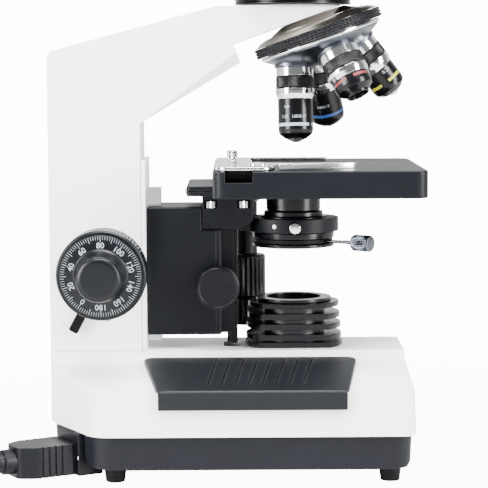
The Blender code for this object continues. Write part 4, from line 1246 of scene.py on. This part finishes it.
def make_stage_plate():
    low, top = STAGE_LOW, STAGE_HIGH
    plan = eased(rectangle(low.x, top.x, low.y, top.y), 0.008, 6)
    opening = arc((0.0115, 0), 0.0175, -90, 90, 24) + arc((-0.0115, 0), 0.0175, 90, 270, 24)
    make("stage_table", extruded(plan, low.z, top.z), "black", "stage_plate", HERE, [
        ("soften", 0.0009),
        ("cut", box((-0.070, -0.0366, 0.150), (0.0462, 0.0366, 0.1687))),
        ("cut", extruded(opening, 0.15, 0.20)),
        ("cut", box((-0.041, -0.08, 0.1724), (-0.025, 0.08, 0.19))),
    ])

    strip = [(-0.047, 0.044), (-0.047, -0.058)] + arc((-0.0385, -0.058), 0.0085, 180, 270, 12)
    strip += arc((-0.022, -0.0565), 0.010, -90, 60, 18) + [(-0.0262, -0.044), (-0.0262, 0.0386)]
    strip += [(0.022, 0.0386), (0.022, 0.044)]
    key = rectangle(-0.0406, -0.0254, -0.058, 0.040)
    seat = HOLDER_LOW + 0.0023
    make("slide_clip", extruded(strip, HOLDER_LOW, HOLDER_LOW + 0.0020), "chrome", "slide_holder", HERE, [
        ("soften", 0.0004),
    ])
    make(
        "slide_key", extruded(key, 0.1728, HOLDER_LOW - 0.0002), "black", "slide_holder", HERE,
        [("soften", 0.0003)],
    )
    screw = [(0, 0.1877), (0.0028, 0.1877)] + levels(0.0033, 0.1872, seat + 0.0012, 3)
    screw += [(0.0024, seat + 0.0010), (0.0033, seat), (0, seat)]
    knurl = flutes(20, 0.0003, 0.0032, seat + 0.0014, 0.1871)
    make(
        "holder_thumb_screw", turned(screw, 0.0002, 80, knurl), "chrome", "holder_thumbscrew",
        move(-0.037, 0, 0),
    )

    pivot = move(-0.022, -0.0565, 0)
    blade = [(0.0125, -0.0040), (0.032, 0.0010), (0.052, 0.0080), (0.058, 0.0125), (0.058, 0.0150)]
    blade += [(0.052, 0.0141), (0.040, 0.0132), (0.026, 0.0108), (0.0125, 0.0080)]
    root = rectangle(0, 0.020, -0.0026, 0.0056)
    make("finger_blade", extruded(blade, HOLDER_LOW, HOLDER_LOW + 0.0032), "chrome", "spring_finger", pivot, [
        ("join", extruded(root, HOLDER_LOW + 0.0024, HOLDER_LOW + 0.0036)),
        ("soften", 0.0004),
    ])
    boss = [(0, HOLDER_LOW + 0.0042), (0.0036, HOLDER_LOW + 0.0042), (0.0060, HOLDER_LOW + 0.0036)]
    boss += [(0.0060, seat), (0, seat)]
    make("finger_boss", turned(boss, 0.0003, 64), "chrome", "spring_finger", pivot)

    stalk = move(*STALK, 0)
    foot = [(0, 0.1627), (0.0110, 0.1627), (0.0110, 0.1560), (0.0065, 0.1530), (0.0065, 0.1200)]
    foot += [(0.0023, 0.1200)]
    foot += [(0.0023, 0.1260), (0, 0.1260)]
    make("drive_stalk", turned(foot, 0.0005, 96), "plastic", "xy_stalk", stalk)
    upper = [(0.0105, 0.1196)] + levels(0.0115, 0.1186, 0.0938, 6)
    upper += [(0.0105, 0.0929), (0.0023, 0.0929), (0.0023, 0.1196)]
    grip = turned(upper, 0.0003, 240, flutes(24, 0.0010, 0.0114, 0.0945, 0.1180))
    make("lengthwise_knob", grip, "plastic", "stage_y_knob", stalk)
    lower = [(0, 0.1250), (0.0020, 0.1250), (0.0020, 0.0925), (0.0100, 0.0925)]
    lower += levels(0.0110, 0.0915, 0.0760, 6)
    lower += [(0.0100, 0.0750), (0, 0.0750)]
    grip = turned(lower, 0.0003, 240, flutes(24, 0.0010, 0.0109, 0.0767, 0.0908))
    make("crosswise_knob", grip, "plastic", "stage_x_knob", stalk)


# Nosepiece and objectives -------------------------------------------------------------------------


def make_objective(name, azimuth, length, radius, band, bands, words):
    """A screwed collar, a grip, a bright taper, a barrel with its band and figures, a nose and its lens.

    bands are the painted stretches of the ring, in degrees from the side. words hold each line's text,
    its size, how far it stands above the band, and its turn from the side in degrees.
    """
    spin = move(*APEX) @ turn(-TILT, "Y") @ turn(azimuth - 180 + TURRET_TURN, "Z") @ turn(TILT, "Y")
    place = spin @ move(0, 0, -SEAT)
    outer = radius + 0.0011
    neck = -0.0188 if length > 0.035 else -0.0176
    collar = [(0, 0.0045), (0.0098, 0.0045), (0.0098, 0.0001), (radius + 0.0007, 0)]
    collar += [(radius + 0.0007, -0.0050), (0, -0.0050)]
    make(f"{name}_collar", turned(collar, 0.0002, 96), "chrome", name, place)
    grip = [(0, -0.0048), (radius + 0.0006, -0.0049)] + levels(outer, -0.0053, -0.0124, 16)
    grip += [(radius, -0.0127), (0, -0.0127)]
    bumps = studs(60, 5, 0.00035, outer - 0.0002, -0.0120, -0.0057)
    make(f"{name}_grip", turned(grip, 0, 240, bumps), "optic", name, place)
    taper = [(0, -0.0124), (outer, -0.0126), (outer, neck + 0.0046), (radius + 0.0009, neck + 0.0028)]
    taper += [(radius, neck), (0, neck)]
    make(f"{name}_taper", turned(taper, 0.0002, 96), "chrome", name, place)
    nose = radius * 0.95
    low = -length + 0.0075
    barrel = [(0, neck + 0.0002), (radius, neck + 0.0001), (radius, low), (nose, -length + 0.0050)]
    barrel += [(radius * 0.62, -length + 0.0022)]
    if name == "objective_4x":
        barrel += [(radius * 0.60, -length + 0.0008), (radius * 0.50, -length + 0.0008)]
        barrel += [(radius * 0.42, -length + 0.0060), (0, -length + 0.0060)]
        lens_top, lens_radius = -length + 0.0070, radius * 0.44
    else:
        barrel += [(0, -length + 0.0020)]
        cone = [(0, -length + 0.0030), (radius * 0.62, -length + 0.0023)]
        cone += [(radius * 0.34, -length + 0.0010), (0.0018, -length), (0.0012, -length)]
        cone += [(0.0010, -length + 0.0004), (0, -length + 0.0004)]
        make(f"{name}_tip", turned(cone, 0.0001, 96), "chrome", name, place)
        lens_top, lens_radius = -length + 0.0010, 0.0011
    make(f"{name}_barrel", turned(barrel, 0.0003, 96), "optic", name, place)
    lens = [(0, lens_top), (lens_radius, lens_top), (lens_radius, lens_top - 0.0004)]
    lens += [(lens_radius * 0.5, lens_top - 0.0007), (0, lens_top - 0.0008)]
    make(f"{name}_glass", turned(lens, 0, 48), "coated_glass", name, place)

    towards = place.to_3x3().inverted() @ Vector((0, -1, 0))
    middle = math.degrees(math.atan2(towards.y, towards.x))
    height = low + 0.0028
    stripes = []
    for start, end in bands:
        edges = (height - 0.0009, height + 0.0009, middle + start, middle + end)
        stripes.append(sector(radius + 0.00008, radius - 0.0005, *edges, 48))
    make(f"{name}_band", gathered(stripes), band, name, place)
    figures = []
    for text, size, up, aside in words:
        figures.append(wrapped(lettering(text, size), radius, height + up, math.radians(middle + aside)))
    make(f"{name}_figures", gathered(figures), "ink", name, place)


def make_nosepiece():
    mounted = move(*APEX) @ turn(-TILT, "Y")
    post = [(0, -0.0348), (0.0195, -0.0348), (0.0275, -0.0383), (0.0275, -0.0410), (0.0050, -0.0410)]
    post += [(0.0050, -0.0560), (0.0040, -0.0562), (0.0040, -0.0643), (0.0065, -0.0643)]
    post += [(0.0060, -0.0662), (0, -0.0662)]
    bore = placed(turned(disc(0.0070, -0.060, 0.0), 0), turn(TILT, "Y"))
    make("turret_post", turned(post, 0.0004, 128), "warm", "nosepiece_mount", mounted, [("cut", bore)])

    plate = [(0.0300, -0.0386), (0.0350, -0.0400), (0.0380, -0.0418), (0.0392, -0.0424), (0.0330, -0.0424)]
    plate += [(0.0330, -0.0415), (0.0300, -0.0405)]
    make("turret_plate", turned(plate, 0.0003, 160), "warm", "nosepiece_ring", mounted)
    grip = [(0.0330, -0.0425), (0.0393, -0.0425)] + levels(0.0400, -0.0428, -0.0481, 21)
    grip += [(0.0393, -0.0484), (0.0330, -0.0484)]
    bumps = studs(96, 3, 0.0008, 0.0399, -0.0480, -0.0429)
    make("turret_grip", turned(grip, 0, 576, bumps), "plastic", "nosepiece_ring", mounted)
    rim = [(0.0327, -0.0486), (0.0370, -0.0486), (0.0374, -0.0491), (0.0374, -0.0503), (0.0368, -0.0510)]
    rim += [(0.0327, -0.0510)]
    make("turret_rim", turned(rim, 0.0003, 160), "chrome", "nosepiece_turret", mounted)
    cap = 0.0630
    shell = [(0.0327, -0.0420), (0.0327, -0.0486), (0.0362, -0.0497), (0.0362, -0.0512)]
    shell += arc((0, 0), cap, -56, -83, 9)
    shell += [(0.0043, -cap), (0.0043, -0.0570), (0.0200, -0.0545), (0.0295, -0.0490), (0.0295, -0.0420)]
    seats, bores = [], []
    for azimuth in (180, 90, 0, 270):
        facing = turn(azimuth - 180 + TURRET_TURN, "Z") @ turn(TILT, "Y")
        seats.append(placed(turned(disc(0.0122, -0.0638, -0.0590), 0.0003, 64), facing))
        bores.append(placed(turned(disc(0.0101, -0.0720, -0.0400), 0, 64), facing))
    steps = [("join", seat) for seat in seats] + [("cut", bore) for bore in bores]
    make("turret_dome", turned(shell, 0.0004, 128), "satin", "nosepiece_turret", mounted, steps)

    make_objective(
        "objective_100x", azimuth=180, length=0.0445, radius=0.0105, band="ink",
        bands=[(-160, 46), (62, 160)],
        words=[("1.25   160/0.17", 0.0026, 0.0046, -8), ("100", 0.0024, 0.0105, -32)],
    )
    make_objective(
        "objective_40x", azimuth=90, length=0.0440, radius=0.0105, band="blue",
        bands=[(-150, 150)],
        words=[("160/0.17", 0.0024, 0.0062, -12)],
    )
    make_objective(
        "objective_10x", azimuth=0, length=0.0375, radius=0.0105, band="yellow",
        bands=[(-74, -22), (6, 70)],
        words=[("0.25", 0.0032, 0.0058, 20)],
    )
    make_objective(
        "objective_4x", azimuth=270, length=0.0300, radius=0.0115, band="red",
        bands=[(-62, -14), (10, 60)],
        words=[("4/0.10", 0.0018, 0.0000, -74)],
    )


# Head ---------------------------------------------------------------------------------------------


def make_head():
    rise = math.degrees(TUBE_RISE)
    disc_profile = [(0, 0.2864), (0.0405, 0.2864), (0.0415, 0.2856), (0.0415, 0.2803), (0.0405, 0.2795)]
    disc_profile += [(0, 0.2795)]
    axis = Vector((math.cos(TUBE_RISE), 0, math.sin(TUBE_RISE)))
    up = Vector((-math.sin(TUBE_RISE), 0, math.cos(TUBE_RISE)))
    points = []
    hoops = ((0, 0.0375, 0.2860), (0, 0.0370, 0.2950), (-0.004, 0.0270, 0.3320), (-0.004, 0.0200, 0.3400))
    for shift, radius, height in hoops:
        points += at_height(arc((shift, 0), radius, 0, 352.5, 47), height)
    for across, lift in arc((0, 0), 0.027, 0, 352, 44):
        points.append(tuple(HINGE + axis * HUB_START + up * lift + Vector((0, across, 0))))
    facing = move(*HINGE) @ turn(90 - rise, "Y")
    make("head_body", turned(disc_profile, 0.0003, 128), "black", "head_housing", HERE, [
        ("join", hulled(points)),
        ("join", placed(turned(disc(0.0220, 0.020, HUB_END), 0.0006, 96), facing)),
        ("soften", 0.0008),
        ("cut", turned(disc(0.0150, 0.270, 0.300), 0)),
    ])

    down = math.sqrt(SWING**2 - HALF_SPACING**2)
    for side, (sign, _) in SIDES.items():
        lean = math.degrees(math.atan2(sign * HALF_SPACING, down))
        centre = (down, sign * HALF_SPACING)
        outline = arc((0, 0), 0.0223, lean - 38, lean + 38, 24)
        outline += arc(centre, 0.0208, lean + 105, lean - 105, 36)
        tube = facing @ move(*centre, 0)
        sleeve = [(0.0118, TUBE_END), (0.0146, TUBE_END), (0.0150, TUBE_END - 0.0004)]
        sleeve += [(0.0150, HUB_END - 0.0015), (0.0118, HUB_END - 0.0015)]
        wing = extruded(outline, HUB_START + 0.001, HUB_END - 0.001)
        make(f"tube_wing_{side}", wing, "black", f"eyetube_{side}", facing, [
            ("soften", 0.0015),
            ("cut", placed(turned(disc(0.0118, 0.060, 0.120), 0), move(*centre, 0))),
        ])
        make(f"tube_sleeve_{side}", turned(sleeve, 0.0003, 96), "dial", f"eyetube_{side}", tube)
        mouth = EYEPIECE_END
        cup = [(0.0088, mouth - 0.0036), (0.0100, mouth - 0.0003), (0.0110, mouth), (0.0138, mouth)]
        cup += [(0.0158, mouth - 0.0012), (0.0165, mouth - 0.0032)]
        cup += [(0.0165, mouth - 0.0110), (0.0088, mouth - 0.0110)]
        make(f"eye_cup_{side}", turned(cup, 0.0004, 96), "foot", f"eyepiece_{side}", tube)
        barrel = [(0, mouth - 0.0100), (0.0160, mouth - 0.0112)]
        barrel += levels(0.0160, mouth - 0.0120, TUBE_END + 0.0070, 8)
        barrel += [(0.0156, TUBE_END + 0.0060), (0.0156, TUBE_END + 0.0008), (0.0115, TUBE_END + 0.0006)]
        barrel += [(0.0115, 0.0860), (0, 0.0860)]
        knurl = flutes(48, 0.0003, 0.0159, TUBE_END + 0.0080, mouth - 0.0125)
        make(
            f"eyepiece_barrel_{side}", turned(barrel, 0.0003, 192, knurl), "plastic",
            f"eyepiece_{side}", tube,
        )
        lens = [(0, mouth - 0.0045), (0.0050, mouth - 0.0048), (0.0090, mouth - 0.0058)]
        lens += [(0.0090, mouth - 0.0098), (0, mouth - 0.0098)]
        make(f"eye_lens_{side}", turned(lens, 0.0002, 64), "coated_glass", f"eyepiece_{side}", tube)
        if side == "left":
            band = [(0.0153, 0.1055)] + levels(0.0175, 0.1055, 0.0970, 6) + [(0.0153, 0.0970)]
            ribs = flutes(40, 0.0004, 0.0174, 0.0978, 0.1047)
            make("diopter_grip", turned(band, 0.0003, 160, ribs), "plastic", "diopter_ring", tube)


make_studio()
make_lead()
make_base()
make_armrests()
make_lamp()
make_power()
make_arm()
make_carriage()
make_focus_knobs()
make_condenser()
make_stage_plate()
make_nosepiece()
make_head()
